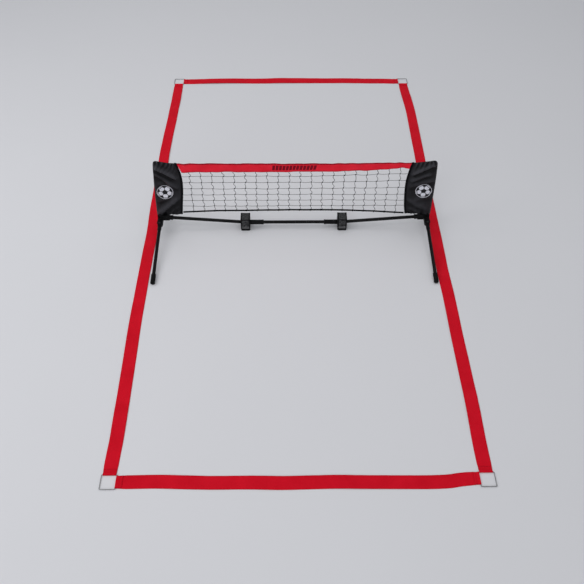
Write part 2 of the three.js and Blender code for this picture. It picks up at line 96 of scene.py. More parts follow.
# Edges of the net as pairs that a smooth curve goes through. SEAM and OUTER give x for a height, and the
# others give a height for an x.
SEAM = {"left": [(0.070, 0.479), (0.127, 0.4725), (0.176, 0.466), (0.215, 0.462), (0.253, 0.4605),
                 (0.290, 0.463), (0.312, 0.4675), (0.346, 0.476)],
        "right": [(0.070, 0.479), (0.122, 0.4705), (0.172, 0.4655), (0.211, 0.463), (0.250, 0.463),
                  (0.286, 0.4665), (0.312, 0.4705), (0.346, 0.477)]}
OUTER = {"left": [(0.070, 0.586), (0.177, 0.581), (0.272, 0.5745), (0.337, 0.569), (0.360, 0.566)],
         "right": [(0.070, 0.587), (0.147, 0.586), (0.244, 0.584), (0.291, 0.582), (0.337, 0.579),
                   (0.360, 0.577)]}
SLEEVE_TOP = {"left": [(0.470, 0.3425), (0.505, 0.3440), (0.525, 0.3478), (0.545, 0.3515), (0.561, 0.3545),
                       (0.590, 0.3560)],
              "right": [(0.470, 0.3425), (0.492, 0.3430), (0.520, 0.3460), (0.546, 0.3490), (0.565, 0.3520),
                        (0.590, 0.3530)]}
CORNER_ROUND = {"left": 0.014, "right": 0.016}
BAND_LOW = [(-0.470, 0.2960), (-0.321, 0.2972), (-0.186, 0.2975), (-0.05, 0.2982), (0.085, 0.2985),
            (0.166, 0.2995), (0.260, 0.3030), (0.348, 0.3072), (0.392, 0.3105), (0.436, 0.3150),
            (0.480, 0.3110)]
BAND_HIGH = [(-0.476, 0.3418), (-0.318, 0.3408), (-0.084, 0.3400), (0.164, 0.3400), (0.345, 0.3420),
             (0.476, 0.3420)]
BAND_BOTTOM, BAND_TOP = 0.2986, 0.343
CORD_HEIGHT = [(-0.477, 0.0850), (-0.400, 0.0890), (-0.337, 0.0915), (-0.190, 0.0937), (-0.050, 0.0952),
               (0.090, 0.0955), (0.180, 0.0945), (0.280, 0.0900), (0.370, 0.0845), (0.430, 0.0800),
               (0.477, 0.0765)]
VERTICALS, VERTICAL_PITCH, VERTICAL_SHIFT = 20, 0.0453, 0.0024
# Heights of the net's rows in its middle, and how far each lifts towards its right end.
ROWS = [(0.1186, 0.001), (0.1496, -0.002), (0.1801, -0.001), (0.2123, 0.003), (0.2445, 0.007),
        (0.2762, 0.012)]
CORD_END_X, CORD_RADIUS = 0.472, 0.0036
LOOP_REACH = 0.0041
UPRIGHT_RADIUS, ROW_RADIUS, KNOT_RADIUS = 0.95 * MM, 0.75 * MM, 0.9 * MM
TWINE_STRAY = 0.0009
ROD_CLEARANCE, THINNEST = 0.0061, 0.0008
INK_OFF_CLOTH, INK_OFF_BAND, THREAD_OFF_BAND = 0.00035, 0.00108, 0.001
POCKET_MOUTH_X = 0.5515


# --- Mesh helpers -----------------------------------------------------------------------

def linked(name, data):
    """A new object in the scene that shows the given mesh, light or camera."""
    obj = bpy.data.objects.new(name, data)
    bpy.context.scene.collection.objects.link(obj)
    return obj


def bare_object(name, shape):
    mesh = bpy.data.meshes.new(name)
    mesh.from_pydata([tuple(v) for v in shape[0]], [], shape[1])
    return linked(name, mesh)


def dressed(obj, body, replaces=()):
    obj.data.polygons.foreach_set("use_smooth", [True] * len(obj.data.polygons))
    obj.data.update()
    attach(obj, body)
    if replaces:
        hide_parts(*replaces)
    return obj


def piece(name, shape, body, material, replaces=()):
    """A mesh object from a shape, which is (vertices, faces, one (across, along) for each face corner)."""
    obj = bare_object(name, shape)
    layer = obj.data.uv_layers.new(name="metres")
    layer.data.foreach_set("uv", np.asarray(shape[2], dtype=np.float32).ravel())
    obj.data.materials.append(material)
    return dressed(obj, body, replaces)


def steps_along(points):
    """Distance from the first point to each of them."""
    return np.concatenate([[0], np.cumsum(np.linalg.norm(np.diff(points, axis=0), axis=1))])


def loft(sections, closed=True, caps=True, ring=False):
    """Quads between rows of points. closed joins each row's ends, ring joins the last row to the first."""
    sections = np.asarray(sections, dtype=float)
    rows, columns = sections.shape[:2]
    middle = sections[rows // 2]
    around = steps_along(np.vstack([middle, middle[:1]]) if closed else middle)
    centres = sections.mean(axis=1)
    along = steps_along(np.vstack([centres, centres[:1]]) if ring else centres)
    i, j = np.meshgrid(np.arange(rows if ring else rows - 1), np.arange(columns if closed else columns - 1),
                       indexing="ij")
    i, j = i.ravel(), j.ravel()
    i2, j2 = (i + 1) % rows, (j + 1) % columns
    faces = np.stack([i * columns + j, i * columns + j2, i2 * columns + j2, i2 * columns + j], axis=1)
    u0, u1, v0, v1 = around[j], around[j + 1], along[i], along[i + 1]
    corners = np.stack([u0, v0, u1, v0, u1, v1, u0, v1], axis=1).reshape(-1, 2)
    faces = [tuple(f) for f in faces]
    if caps and closed and not ring:
        last = (rows - 1) * columns
        for end in (range(columns - 1, -1, -1), range(last, last + columns)):
            faces.append(tuple(end))
            flat = sections.reshape(-1, 3)[list(end)][:, :2]
            corners = np.vstack([corners, flat])
    return sections.reshape(-1, 3), faces, corners


def merged(shapes):
    """Several shapes as one."""
    vertices, faces, corners, count = [], [], [], 0
    for part_vertices, part_faces, part_corners in shapes:
        vertices.append(part_vertices)
        faces.extend(tuple(k + count for k in f) for f in part_faces)
        corners.append(part_corners)
        count += len(part_vertices)
    return np.vstack(vertices), faces, np.vstack(corners)


def placed(shape, matrix):
    vertices, faces, corners = shape
    m = np.array(matrix)
    return vertices @ m[:3, :3].T + m[:3, 3], faces, corners


def frames_along(path, up=(0, 0, 1)):
    """Unit tangent, normal and binormal at each point of a path, with no more twist than the path has."""
    tangents = np.gradient(path, axis=0)
    tangents /= np.linalg.norm(tangents, axis=1)[:, None]
    normal = np.array(up, dtype=float)
    if abs(normal @ tangents[0]) > 0.95:
        normal = np.array([1.0, 0.0, 0.0])
    normals = np.empty_like(tangents)
    for k, tangent in enumerate(tangents):
        normal = normal - tangent * (normal @ tangent)
        normal /= np.linalg.norm(normal)
        normals[k] = normal
    return tangents, normals, np.cross(tangents, normals)


def swept(path, radii, sides=12, lobes=0, lobe_depth=0.0, twist=0.0, up=(0, 0, 1), ring=False):
    """A round tube along a path. lobes strands are laid round it, turning by twist radians a metre."""
    path = np.asarray(path, dtype=float)
    radii = np.broadcast_to(radii, len(path))
    if ring:
        wrapped = np.vstack([path[-1:], path, path[:1]])
        normals, binormals = (f[1:-1] for f in frames_along(wrapped, up)[1:])
    else:
        normals, binormals = frames_along(path, up)[1:]
    angles = np.linspace(0, 2 * np.pi, sides, endpoint=False)
    turn = twist * steps_along(path)[:, None]
    bumps = 1 - lobe_depth * (1 - np.abs(np.cos(lobes / 2 * (angles[None, :] - turn)))) if lobes else 1.0
    reach = (radii[:, None] * bumps)[:, :, None]
    sections = (path[:, None, :] + reach * (np.cos(angles)[None, :, None] * normals[:, None, :]
                                            + np.sin(angles)[None, :, None] * binormals[:, None, :]))
    return loft(sections, ring=ring)


def lathe(profile, sides=32):
    """A profile of (along X, radius) pairs turned round the X axis."""
    angles = np.linspace(0, 2 * np.pi, sides, endpoint=False)
    sections = [[(along, radius * math.cos(a), radius * math.sin(a)) for a in angles]
                for along, radius in profile]
    return loft(sections)


def cylinder(radius, start, end):
    """A plain closed cylinder round the X axis."""
    return lathe([(start, 0), (start, radius), (end, radius), (end, 0)])


def rounded(profile, corner, steps=4):
    """A (along, radius) profile with each inner corner replaced by a short arc."""
    points = [Vector(p) for p in profile]
    out = [points[0]]
    for before, here, after in zip(points, points[1:], points[2:]):
        a, b = before - here, after - here
        reach = min(corner, a.length * 0.45, b.length * 0.45)
        start, end = here + a.normalized() * reach, here + b.normalized() * reach
        for k in range(steps + 1):
            t = k / steps
            out.append(start * (1 - t) ** 2 + here * 2 * t * (1 - t) + end * t ** 2)
    out.append(points[-1])
    return [(p.x, p.y) for p in out]


def upright():
    """Turns the X axis to point up."""
    return Matrix.Rotation(-math.pi / 2, 4, "Y")


def through(table, at):
    """A smooth curve through (place, value) pairs, read off at the given places."""
    places, values = np.array(table).T
    slopes = np.gradient(values, places)
    k = np.clip(np.searchsorted(places, at) - 1, 0, len(places) - 2)
    width = places[k + 1] - places[k]
    t = np.clip((at - places[k]) / width, 0, 1)
    return (values[k] * (1 + 2 * t) * (1 - t) ** 2 + slopes[k] * width * t * (1 - t) ** 2
            + values[k + 1] * t * t * (3 - 2 * t) - slopes[k + 1] * width * t * t * (1 - t))


def smooth_step(x):
    x = np.clip(x, 0, 1)
    return x * x * (3 - 2 * x)


def waves(points, scale, seed):
    """Smooth noise from -1 to 1 at each (a, b) point, with features about scale long."""
    return np.array([noise.noise((a / scale + seed * 7.13, b / scale - seed * 3.71, seed * 1.97))
                     for a, b in points]) * 1.6


def waves_along(x, scale, seed):
    """The same noise along one line, for one place or many."""
    points = np.stack([x, 0 * x], axis=-1).reshape(-1, 2)
    return waves(points, scale, seed).reshape(np.shape(x))


def wavy(x, shape, seed):
    """Waves of a (height, length) along one line."""
    height, length = shape
    return height * waves_along(x, length, seed)


def box_shape(low, high):
    """A closed box from its lowest to its highest corner."""
    (x0, y0, z0), (x1, y1, z1) = low, high
    return prism([(x0, y0), (x1, y0), (x1, y1), (x0, y1)], z0, z1)


def prism(outline, z0, z1):
    """A closed solid over an outline of (x, y) points that goes round anticlockwise."""
    return loft([[(x, y, z) for x, y in outline] for z in (z0, z1)])


def rounded_rectangle(width, depth, corner, steps=6):
    """Points anticlockwise round a rectangle with round corners, centred on the origin."""
    points = []
    for turn, (sx, sy) in enumerate([(1, 1), (-1, 1), (-1, -1), (1, -1)]):
        for k in range(steps + 1):
            a = (turn + k / steps) * math.pi / 2
            points.append((sx * (width / 2 - corner) + corner * math.cos(a),
                           sy * (depth / 2 - corner) + corner * math.sin(a)))
    return np.array(points)


def moulded(name, shapes, skin, cuts=()):
    """One skin over overlapping closed shapes, its corners softened, then the cuts taken out."""
    voxel, softness = skin
    source = bare_object(name, merged(shapes))
    remesh = source.modifiers.new("skin", "REMESH")
    remesh.mode = "VOXEL"
    remesh.voxel_size = voxel
    soften = source.modifiers.new("soften", "SMOOTH")
    soften.iterations = softness
    soften.factor = 0.5
    tools = []
    for k, cut in enumerate(cuts):
        tools.append(bare_object(f"{name}_cut_{k}", cut))
        boolean = source.modifiers.new("cut", "BOOLEAN")
        boolean.operation = "DIFFERENCE"
        boolean.solver = "EXACT"
        boolean.object = tools[-1]
    bpy.context.view_layer.update()
    evaluated = source.evaluated_get(bpy.context.evaluated_depsgraph_get())
    mesh = bpy.data.meshes.new_from_object(evaluated)
    for obj in [source, *tools]:
        bpy.data.objects.remove(obj)
    mesh.name = name
    return linked(name, mesh)


def moulded_piece(name, shapes, skin, body, material, place, replaces=(), cuts=()):
    obj = moulded(name, shapes, skin, cuts)
    obj.data.transform(place)
    obj.data.materials.clear()
    obj.data.materials.append(material)
    return dressed(obj, body, replaces)


def stitch(start, end, out, thickness):
    """One thread stitch from start to end, arched a little along the unit vector out."""
    start, end, out = (np.asarray(v, dtype=float) for v in (start, end, out))
    arch = [0.0, 0.7, 1.0, 0.7, 0.0]
    path = [start + (end - start) * k / 4 + out * thickness * (0.55 * arch[k] - 0.1) for k in range(5)]
    radii = thickness / 2 * np.array([0.55, 0.95, 1.0, 0.95, 0.55])
    return swept(path, radii, sides=6, up=out)


def stitches(path, outs, thickness, length=0.0026, gap=0.0009):
    """A row of stitches along a path. outs is the unit vector away from the cloth at each point."""
    path, outs = np.asarray(path, dtype=float), np.asarray(outs, dtype=float)
    distance = steps_along(path)
    starts = np.arange(gap, distance[-1] - length, length + gap)

    def at(s, values):
        return np.array([np.interp(s, distance, values[:, k]) for k in range(3)])

    return merged([stitch(at(s, path), at(s + length, path), at(s, outs), thickness) for s in starts])


# --- Materials --------------------------------------------------------------------------

class Material:
    """A node material in the making: each method adds a node and gives back its output."""

    def __init__(self, name):
        self.material = bpy.data.materials.new(name)
        self.material.use_nodes = True
        self.tree = self.material.node_tree
        self.shader = self.tree.nodes["Principled BSDF"]

    def add(self, kind, inputs=None, output=0, **settings):
        made = self.tree.nodes.new(kind)
        for key, value in settings.items():
            setattr(made, key, value)
        for key, value in (inputs or {}).items():
            self.put(made.inputs[key], value)
        return made.outputs[output]

    def put(self, socket, value):
        if isinstance(value, bpy.types.NodeSocket):
            self.tree.links.new(value, socket)
        else:
            socket.default_value = value

    def set(self, **values):
        """Sets the shader's own sockets, named with _ for a space."""
        for key, value in values.items():
            self.put(self.shader.inputs[key.replace("_", " ")], value)
        return self.material

    def place(self):
        return self.add("ShaderNodeTexCoord", output=3)

    def metres(self):
        return self.add("ShaderNodeUVMap", uv_map="metres")

    def across_and_along(self):
        """The piece's own flat coordinates, one by one."""
        parts = self.add("ShaderNodeSeparateXYZ", {0: self.metres()})
        return parts.node.outputs[0], parts.node.outputs[1]

    def stretched(self, vector, scale):
        return self.add("ShaderNodeMapping", {"Vector": vector, "Scale": scale})

    def noise(self, vector, scale, detail=3.0, roughness=0.5):
        return self.add("ShaderNodeTexNoise",
                        {"Vector": vector, "Scale": scale, "Detail": detail, "Roughness": roughness})

    def math(self, operation, a, b=0.0):
        return self.add("ShaderNodeMath", {0: a, 1: b}, operation=operation)

    def between(self, value, low, high, to_low=0.0, to_high=1.0):
        return self.add("ShaderNodeMapRange", {"Value": value, "From Min": low, "From Max": high,
                                               "To Min": to_low, "To Max": to_high})

    def shade(self, *parts):
        """The sum of (value, low, high, weight) parts, each spread from 0 up to its weight."""
        total = None
        for value, low, high, weight in parts:
            part = self.between(value, low, high, 0.0, weight)
            total = part if total is None else self.math("ADD", total, part)
        return total

    def mix(self, factor, a, b):
        return self.add("ShaderNodeMix", {0: factor, 6: (*a, 1) if isinstance(a, tuple) else a,
                                          7: (*b, 1) if isinstance(b, tuple) else b},
                        output=2, data_type="RGBA")

    def bump(self, height, distance, strength=1.0, normal=None):
        inputs = {"Height": height, "Distance": distance, "Strength": strength}
        if normal is not None:
            inputs["Normal"] = normal
        return self.add("ShaderNodeBump", inputs)

    def weave(self, across, along):
        """Height of a plain weave of yarns across and along wide, from the piece's own flat coordinates."""
        u, v = self.across_and_along()
        wave_u = self.math("SINE", self.math("MULTIPLY", u, math.pi / across))
        wave_v = self.math("SINE", self.math("MULTIPLY", v, math.pi / along))
        return self.math("MULTIPLY", wave_u, wave_v)


def webbing_material(name, light, dark, across=0.0011, along=0.0008):
    """Woven tape, darker along its two edges."""
    m = Material(name)
    weave = m.weave(across, along)
    flecks = m.noise(m.stretched(m.metres(), (900, 160, 1)), 1.0, 2.0)
    patches = m.noise(m.place(), 14.0, 3.0)
    shade = m.shade((weave, -1, 1, 0.35), (flecks, 0.3, 0.7, 0.35), (patches, 0.3, 0.7, 0.3))
    from_edge = m.math("PINGPONG", m.across_and_along()[0], WEB_HALF + WEB_THICK / 2)
    shade = m.math("MULTIPLY", shade, m.between(from_edge, *SELVEDGE, 0.25, 1.0))
    fuzz = m.bump(m.noise(m.place(), 1400.0, 2.0), 0.00008)
    ribs = m.bump(weave, 0.00022, 0.8, fuzz)
    return m.set(Base_Color=m.mix(shade, dark, light), Normal=ribs,
                 Roughness=m.between(flecks, 0.3, 0.7, 0.62, 0.78),
                 Sheen_Weight=0.04, Sheen_Roughness=0.4, Sheen_Tint=(1.0, 0.2, 0.25, 1),
                 Specular_IOR_Level=0.2, Specular_Tint=(1.0, 0.15, 0.2, 1))


def cloth_material(name, light, dark, yarn, crumple, sheen=(0.6, 0.6, 0.66, 1), roughness=(0.5, 0.7),
                   sheen_weight=0.3, gloss=0.3, gloss_tint=(1, 1, 1, 1)):
    m = Material(name)
    weave = m.weave(yarn, yarn)
    creases = m.noise(m.place(), 55.0, 5.0, 0.6)
    patches = m.noise(m.place(), 18.0, 3.0)
    shade = m.shade((weave, -1, 1, 0.3), (patches, 0.3, 0.7, 0.7))
    soft = m.bump(creases, crumple)
    threads = m.bump(weave, 0.0001, 0.7, soft)
    return m.set(Base_Color=m.mix(shade, dark, light), Normal=threads,
                 Roughness=m.between(creases, 0.35, 0.65, *roughness),
                 Sheen_Weight=sheen_weight, Sheen_Roughness=0.35, Sheen_Tint=sheen,
                 Specular_IOR_Level=gloss, Specular_Tint=gloss_tint)


def plastic_material(name, light, dark, grain=0.00006, mottle=0.0, roughness=(0.38, 0.55), gloss=0.08):
    m = Material(name)
    fine = m.noise(m.place(), 1500.0, 2.0)
    broad = m.noise(m.place(), 150.0 if mottle else 60.0, 4.0, 0.6)
    pointiness = m.add("ShaderNodeNewGeometry", output=7)
    shade = m.shade((broad, 0.35, 0.65, 0.6), (pointiness, 0.52, 0.6, 0.4))
    normal = m.bump(fine, grain, 0.8)
    if mottle:
        normal = m.bump(broad, mottle, 0.8, normal)
    return m.set(Base_Color=m.mix(shade, dark, light), Normal=normal,
                 Roughness=m.between(broad, 0.3, 0.7, *roughness), Specular_IOR_Level=gloss)


def paint_material():
    m = Material("black_painted_tube")
    peel = m.noise(m.place(), 480.0, 2.0)
    scuffs = m.noise(m.stretched(m.metres(), (260, 22, 1)), 1.0, 5.0, 0.7)
    patches = m.noise(m.place(), 30.0, 2.0)
    shade = m.shade((scuffs, 0.55, 0.75, 0.7), (patches, 0.3, 0.7, 0.3))
    return m.set(Base_Color=m.mix(shade, (0.0025, 0.0025, 0.003), (0.010, 0.010, 0.011)),
                 Normal=m.bump(peel, 0.00005, 0.7), Roughness=m.between(scuffs, 0.4, 0.7, 0.3, 0.46),
                 Specular_IOR_Level=0.12)


def rubber_material():
    m = Material("black_rubber")
    dust = m.noise(m.place(), 340.0, 5.0, 0.7)
    broad = m.noise(m.place(), 45.0, 3.0)
    shade = m.shade((dust, 0.5, 0.75, 0.6), (broad, 0.3, 0.7, 0.4))
    return m.set(Base_Color=m.mix(shade, (0.004, 0.004, 0.0045), (0.016, 0.016, 0.016)),
                 Normal=m.bump(dust, 0.00008, 0.8), Roughness=m.between(dust, 0.3, 0.7, 0.7, 0.9),
                 Specular_IOR_Level=0.08)


def steel_material(name, light, dark, roughness):
    m = Material(name)
    brushed = m.noise(m.stretched(m.metres(), (900, 60, 1)), 1.0, 4.0, 0.6)
    stains = m.noise(m.place(), 90.0, 4.0, 0.6)
    shade = m.shade((brushed, 0.3, 0.7, 0.5), (stains, 0.35, 0.65, 0.5))
    return m.set(Base_Color=m.mix(shade, dark, light), Metallic=1.0, Normal=m.bump(brushed, 0.00003, 0.5),
                 Roughness=m.between(stains, 0.3, 0.7, *roughness))


def twine_material(name, light, dark, strand, lay):
    """Twisted yarns: bands that slant across the piece's own flat coordinates."""
    m = Material(name)
    u, v = m.across_and_along()
    slant = m.math("ADD", m.math("MULTIPLY", u, math.pi / strand), m.math("MULTIPLY", v, math.pi / lay))
    bands = m.math("ABSOLUTE", m.math("SINE", slant))
    fuzz = m.noise(m.place(), 1800.0, 3.0)
    shade = m.shade((bands, 0, 1, 0.5), (fuzz, 0.3, 0.7, 0.5))
    return m.set(Base_Color=m.mix(shade, dark, light),
                 Normal=m.bump(bands, 0.00025, 0.8, m.bump(fuzz, 0.00006)),
                 Roughness=m.between(fuzz, 0.3, 0.7, 0.65, 0.85), Sheen_Weight=0.02, Sheen_Roughness=0.5,
                 Specular_IOR_Level=0.06)


def print_material(name, light, dark, gloss=0.2):
    """Ink on cloth, worn thin in places."""
    m = Material(name)
    weave = m.weave(0.0005, 0.0005)
    worn = m.noise(m.place(), 700.0, 4.0, 0.65)
    shade = m.shade((worn, 0.35, 0.6, 0.8), (weave, -1, 1, 0.2))
    return m.set(Base_Color=m.mix(shade, dark, light), Normal=m.bump(weave, 0.00008, 0.6),
                 Roughness=m.between(worn, 0.3, 0.7, 0.5, 0.65), Specular_IOR_Level=gloss)


def floor_material():
    m = Material("studio_floor")
    clouds = m.noise(m.place(), 1.3, 3.0)
    grit = m.noise(m.place(), 420.0, 3.0)
    return m.set(Base_Color=m.mix(clouds, (0.706, 0.709, 0.743), (0.726, 0.729, 0.763)),
                 Normal=m.bump(grit, 0.00004, 0.4), Roughness=m.between(grit, 0.3, 0.7, 0.7, 0.8),
                 Specular_IOR_Level=0.25)


def sleeve_cloth_material():
    """Thin black cloth with a painted highlight along the ridges of its folds and painted shade, near black,
    in its hollows.
    """
    m = Material("black_nylon_cloth")
    weave = m.weave(0.0005, 0.0009)
    painted_fold_shade = m.add("ShaderNodeAttribute", output=2, attribute_name="painted_fold_shade")
    creases = m.noise(m.place(), 60.0, 5.0, 0.6)
    # Fold height paints the light: ridges paler as a painted highlight, hollows darker as painted shade.
    shade = m.shade((painted_fold_shade, -0.30, 1.05, 0.85), (creases, 0.35, 0.65, 0.15))
    threads = m.bump(weave, 0.0001, 0.7, m.bump(creases, 0.0005))
    return m.set(Base_Color=m.mix(shade, (0.0020, 0.0020, 0.0030), (0.046, 0.046, 0.054)), Normal=threads,
                 Roughness=m.between(creases, 0.35, 0.65, 0.42, 0.58), Specular_IOR_Level=0.16,
                 Sheen_Weight=0.02, Sheen_Roughness=0.4)


RED_WEBBING = webbing_material("red_webbing", (0.80, 0.010, 0.028), (0.54, 0.002, 0.011))
RED_THREAD = twine_material("red_thread", (0.30, 0.004, 0.012), (0.16, 0.001, 0.005), 0.0004, 0.0008)
RED_CLOTH = cloth_material("red_oxford_cloth", (0.98, 0.026, 0.054), (0.78, 0.010, 0.028), 0.0005, 0.0012,
                           (1.0, 0.3, 0.35, 1), (0.5, 0.65), 0.15, 0.3, (1.0, 0.2, 0.25, 1))
RED_HEM = cloth_material("dark_red_edging", (0.36, 0.004, 0.014), (0.24, 0.002, 0.008), 0.0005, 0.0003,
                         (1.0, 0.3, 0.35, 1), (0.6, 0.75), 0.03, 0.15, (1.0, 0.2, 0.25, 1))
RED_PRINT = print_material("dark_red_print", (0.17, 0.005, 0.014), (0.30, 0.008, 0.024), 0.03)
BLACK_CLOTH = sleeve_cloth_material()
BLACK_BINDING = cloth_material("black_binding_tape", (0.006, 0.006, 0.008), (0.002, 0.002, 0.003), 0.0009,
                               0.0003, (0.5, 0.5, 0.55, 1), (0.6, 0.75), 0.01, 0.06)
GREY_THREAD = twine_material("grey_thread", (0.040, 0.040, 0.046), (0.015, 0.015, 0.018), 0.0004, 0.0008)
PALE_PRINT = print_material("pale_print", (0.86, 0.87, 0.95), (0.58, 0.59, 0.66))
BLACK_TWINE = twine_material("black_twine", (0.007, 0.007, 0.008), (0.002, 0.002, 0.0025), 0.0008, 0.0022)
BLACK_CORD = twine_material("black_cord", (0.006, 0.006, 0.007), (0.002, 0.002, 0.0025), 0.0009, 0.0016)
BLACK_PLASTIC = plastic_material("black_moulded_plastic", (0.012, 0.012, 0.0135), (0.003, 0.003, 0.0035))
FOOT_PANEL = plastic_material("grained_grey_plastic", (0.135, 0.137, 0.141), (0.008, 0.008, 0.009),
                              0.00008, 0.00045, (0.5, 0.68), 0.15)
# Grey plastic painted pale for the sloping strip low on each foot face: a painted highlight where the slope
# faces the light.
FOOT_STRIP_HIGHLIGHT = plastic_material("grey_plastic_painted_highlight", (0.170, 0.172, 0.176), (0.060, 0.060, 0.063),
                             0.00008, 0.00010, (0.45, 0.6), 0.2)
BLACK_PAINT = paint_material()
BLACK_RUBBER = rubber_material()
BLACK_ROD = plastic_material("black_glass_fibre", (0.010, 0.010, 0.012), (0.004, 0.004, 0.005), 0.00003, 0.0,
                             (0.2, 0.34))
WIRE_STEEL = steel_material("plated_wire", (0.36, 0.36, 0.37), (0.20, 0.20, 0.21), (0.24, 0.38))
PIN_STEEL = steel_material("blackened_rivet", (0.085, 0.085, 0.088), (0.030, 0.030, 0.032), (0.4, 0.55))


# --- Court ------------------------------------------------------------------------------

def line_middle(node, along):
    """Places along a court line, and where its middle is there, from the flat underside of its CAD solid."""
    points = np.array([v.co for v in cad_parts[node].data.vertices])
    under = points[points[:, 2] < 0.1 * MM]
    rounded_places = np.round(under[:, along], 3)
    places = np.unique(rounded_places)
    across = under[:, 1 - along]
    middles = [(across[rounded_places == p].min() + across[rounded_places == p].max()) / 2 for p in places]
    return places, np.array(middles)


def line_profile(reach):
    """Middle of the webbing from hem to hem, as (along, up): hem, loop, the long run, loop and hem."""
    single, double = WEB_THICK / 2 + 0.00003, WEB_THICK * 1.5 + 0.00005
    hem = [(reach - HEM + k * 0.0024, double) for k in range(7)]
    loop = [(reach + LOOP_RADIUS * math.cos(a), WIRE_Z + LOOP_RADIUS * math.sin(a))
            for a in np.radians(np.linspace(112, -82, 13))]
    ease = [(reach - 0.0045, single)]
    run_end = reach - 0.010
    run = [(place, single) for place in np.linspace(run_end, -run_end, int(run_end / 0.004))]
    first_half = hem + loop + ease
    return np.array(first_half + run + [(-a, z) for a, z in reversed(first_half)])


def line_surface(node, along, reach, seed):
    """Sections of a line's webbing, and where its middle is across the line at each of them."""
    places, middles = line_middle(node, along)
    profile = line_profile(reach)
    s, up = profile[:, 0], profile[:, 1]
    fine = np.linspace(-reach, reach, 601)
    stray = np.interp(fine, places, middles)
    window = np.exp(-0.5 * (np.arange(-30, 31) * (fine[1] - fine[0]) / 0.045) ** 2)
    padded_stray = np.pad(stray, 30, mode="edge")
    stray = np.convolve(padded_stray, window / window.sum(), mode="valid")
    centre = np.interp(s, fine, stray)
    inner = smooth_step((reach - np.abs(s) - 0.03) / 0.12)
    centre = centre + inner * wavy(s, WANDER, seed)
    slope = np.gradient(centre) / np.where(np.abs(np.gradient(s)) < 1e-6, 1e-6, np.gradient(s))
    slope = np.clip(slope, -0.2, 0.2) * inner
    tangent = np.gradient(profile, axis=0)
    tangent /= np.linalg.norm(tangent, axis=1)[:, None]
    half = EYE_HALF + (WEB_HALF - EYE_HALF) * smooth_step((reach - np.abs(s) - 0.006) / 0.03)
    lift = np.maximum(0, wavy(s, LIFT, seed + 1))
    ripple = np.maximum(0, wavy(s, RIPPLE, seed + 2))
    tilt = wavy(s, TILT, seed + 3)
    curl = np.maximum(0, wavy(s, CURL, seed + 4))

    shares = np.array([-1, -0.97, -0.92, -0.84, -0.7, -0.5, -0.25, 0, 0.25, 0.5, 0.7, 0.84, 0.92, 0.97, 1])
    outward = np.abs(shares)
    thickness = WEB_THICK / 2 * np.where(outward > 0.98, 0.45, np.where(outward > 0.9, 1.0, 0.88))
    sections = []
    for k in range(len(s)):
        bend = inner[k] * (lift[k] + ripple[k] + np.maximum(0, tilt[k] * shares) + curl[k] * shares ** 4)
        rows = []
        for side in (1, -1):
            across = shares if side == 1 else shares[::-1]
            raise_by = bend if side == 1 else bend[::-1]
            thick = thickness if side == 1 else thickness[::-1]
            x_along = s[k] - side * thick * tangent[k, 1] - across * half[k] * slope[k]
            z_up = up[k] + side * thick * tangent[k, 0] + raise_by
            rows.append(np.stack([centre[k] + across * half[k], x_along, z_up], axis=1))
        sections.append(np.vstack(rows))
    return np.array(sections), centre


def to_court(points, along):
    """(across, along, up) points of a line as (x, y, z) points of the court."""
    return points if along == 1 else points[..., [1, 0, 2]]


def hem_stitches(reach, centre):
    """A sewn box across each hem: two rows across it and one along each side."""
    top = 2 * WEB_THICK + 0.00005
    rows = []
    half = WEB_HALF - 0.0028
    for end in (-1, 1):
        near, far = end * (reach - 0.0105), end * (reach - HEM + 0.003)
        middle = centre[0] if end == 1 else centre[-1]
        corners = [(middle - half, near), (middle + half, near), (middle + half, far), (middle - half, far)]
        for a, b in zip(corners, corners[1:] + corners[:1]):
            path = [(a[0] + (b[0] - a[0]) * t, a[1] + (b[1] - a[1]) * t, top) for t in (0, 1)]
            rows.append(stitches(path, [(0, 0, 1)] * 2, THREAD))
    return merged(rows)


def oriented(shape):
    """The same shape with every face turned over."""
    vertices, faces, corners = shape
    flipped, turned, at = [], [], 0
    for f in faces:
        flipped.append(tuple(reversed(f)))
        turned.append(corners[at:at + len(f)][::-1])
        at += len(f)
    return vertices, flipped, np.vstack(turned)


def court_line(name, body, along, seed):
    wire = (RING_INNER + WIRE) / 2
    reach = (COURT_Y if along == 1 else COURT_X) - wire
    sections, centre = line_surface(name, along, reach, seed)
    shape = loft(to_court(sections, along))
    vertices, faces, corners = hem_stitches(reach, centre)
    sewn = (to_court(vertices, along), faces, corners)
    if along == 0:
        shape, sewn = oriented(shape), oriented(sewn)
    webbing = piece(f"webbing_{name}", shape, body, RED_WEBBING, [name])
    thread = piece(f"stitching_{name}", sewn, body, RED_THREAD)


def corner_ring(name, body, x, y):
    """A square of round wire with the butt weld of its two ends on the side away from the court."""
    side = RING_INNER + WIRE
    outline = rounded_rectangle(side, side, RING_CORNER - WIRE / 2, steps=8)
    path = []
    for a, b in zip(outline, np.roll(outline, -1, axis=0)):
        count = max(1, int(round(np.linalg.norm(b - a) / 0.0012)))
        path.extend(a + (b - a) * k / count for k in range(count))
    path = np.array([(px, py, 0.0) for px, py in path])
    weld = (math.copysign(side / 2, x), -math.copysign(0.006, y))
    distance = np.hypot(path[:, 0] - weld[0], path[:, 1] - weld[1])
    radii = WIRE / 2 + 0.00028 * np.exp(-(distance / 0.0014) ** 2)
    shape = swept(path, radii, sides=16, ring=True)
    shape = placed(shape, Matrix.Translation((x, y, WIRE_Z)))
    piece(f"wire_{name}", shape, body, WIRE_STEEL, [name])


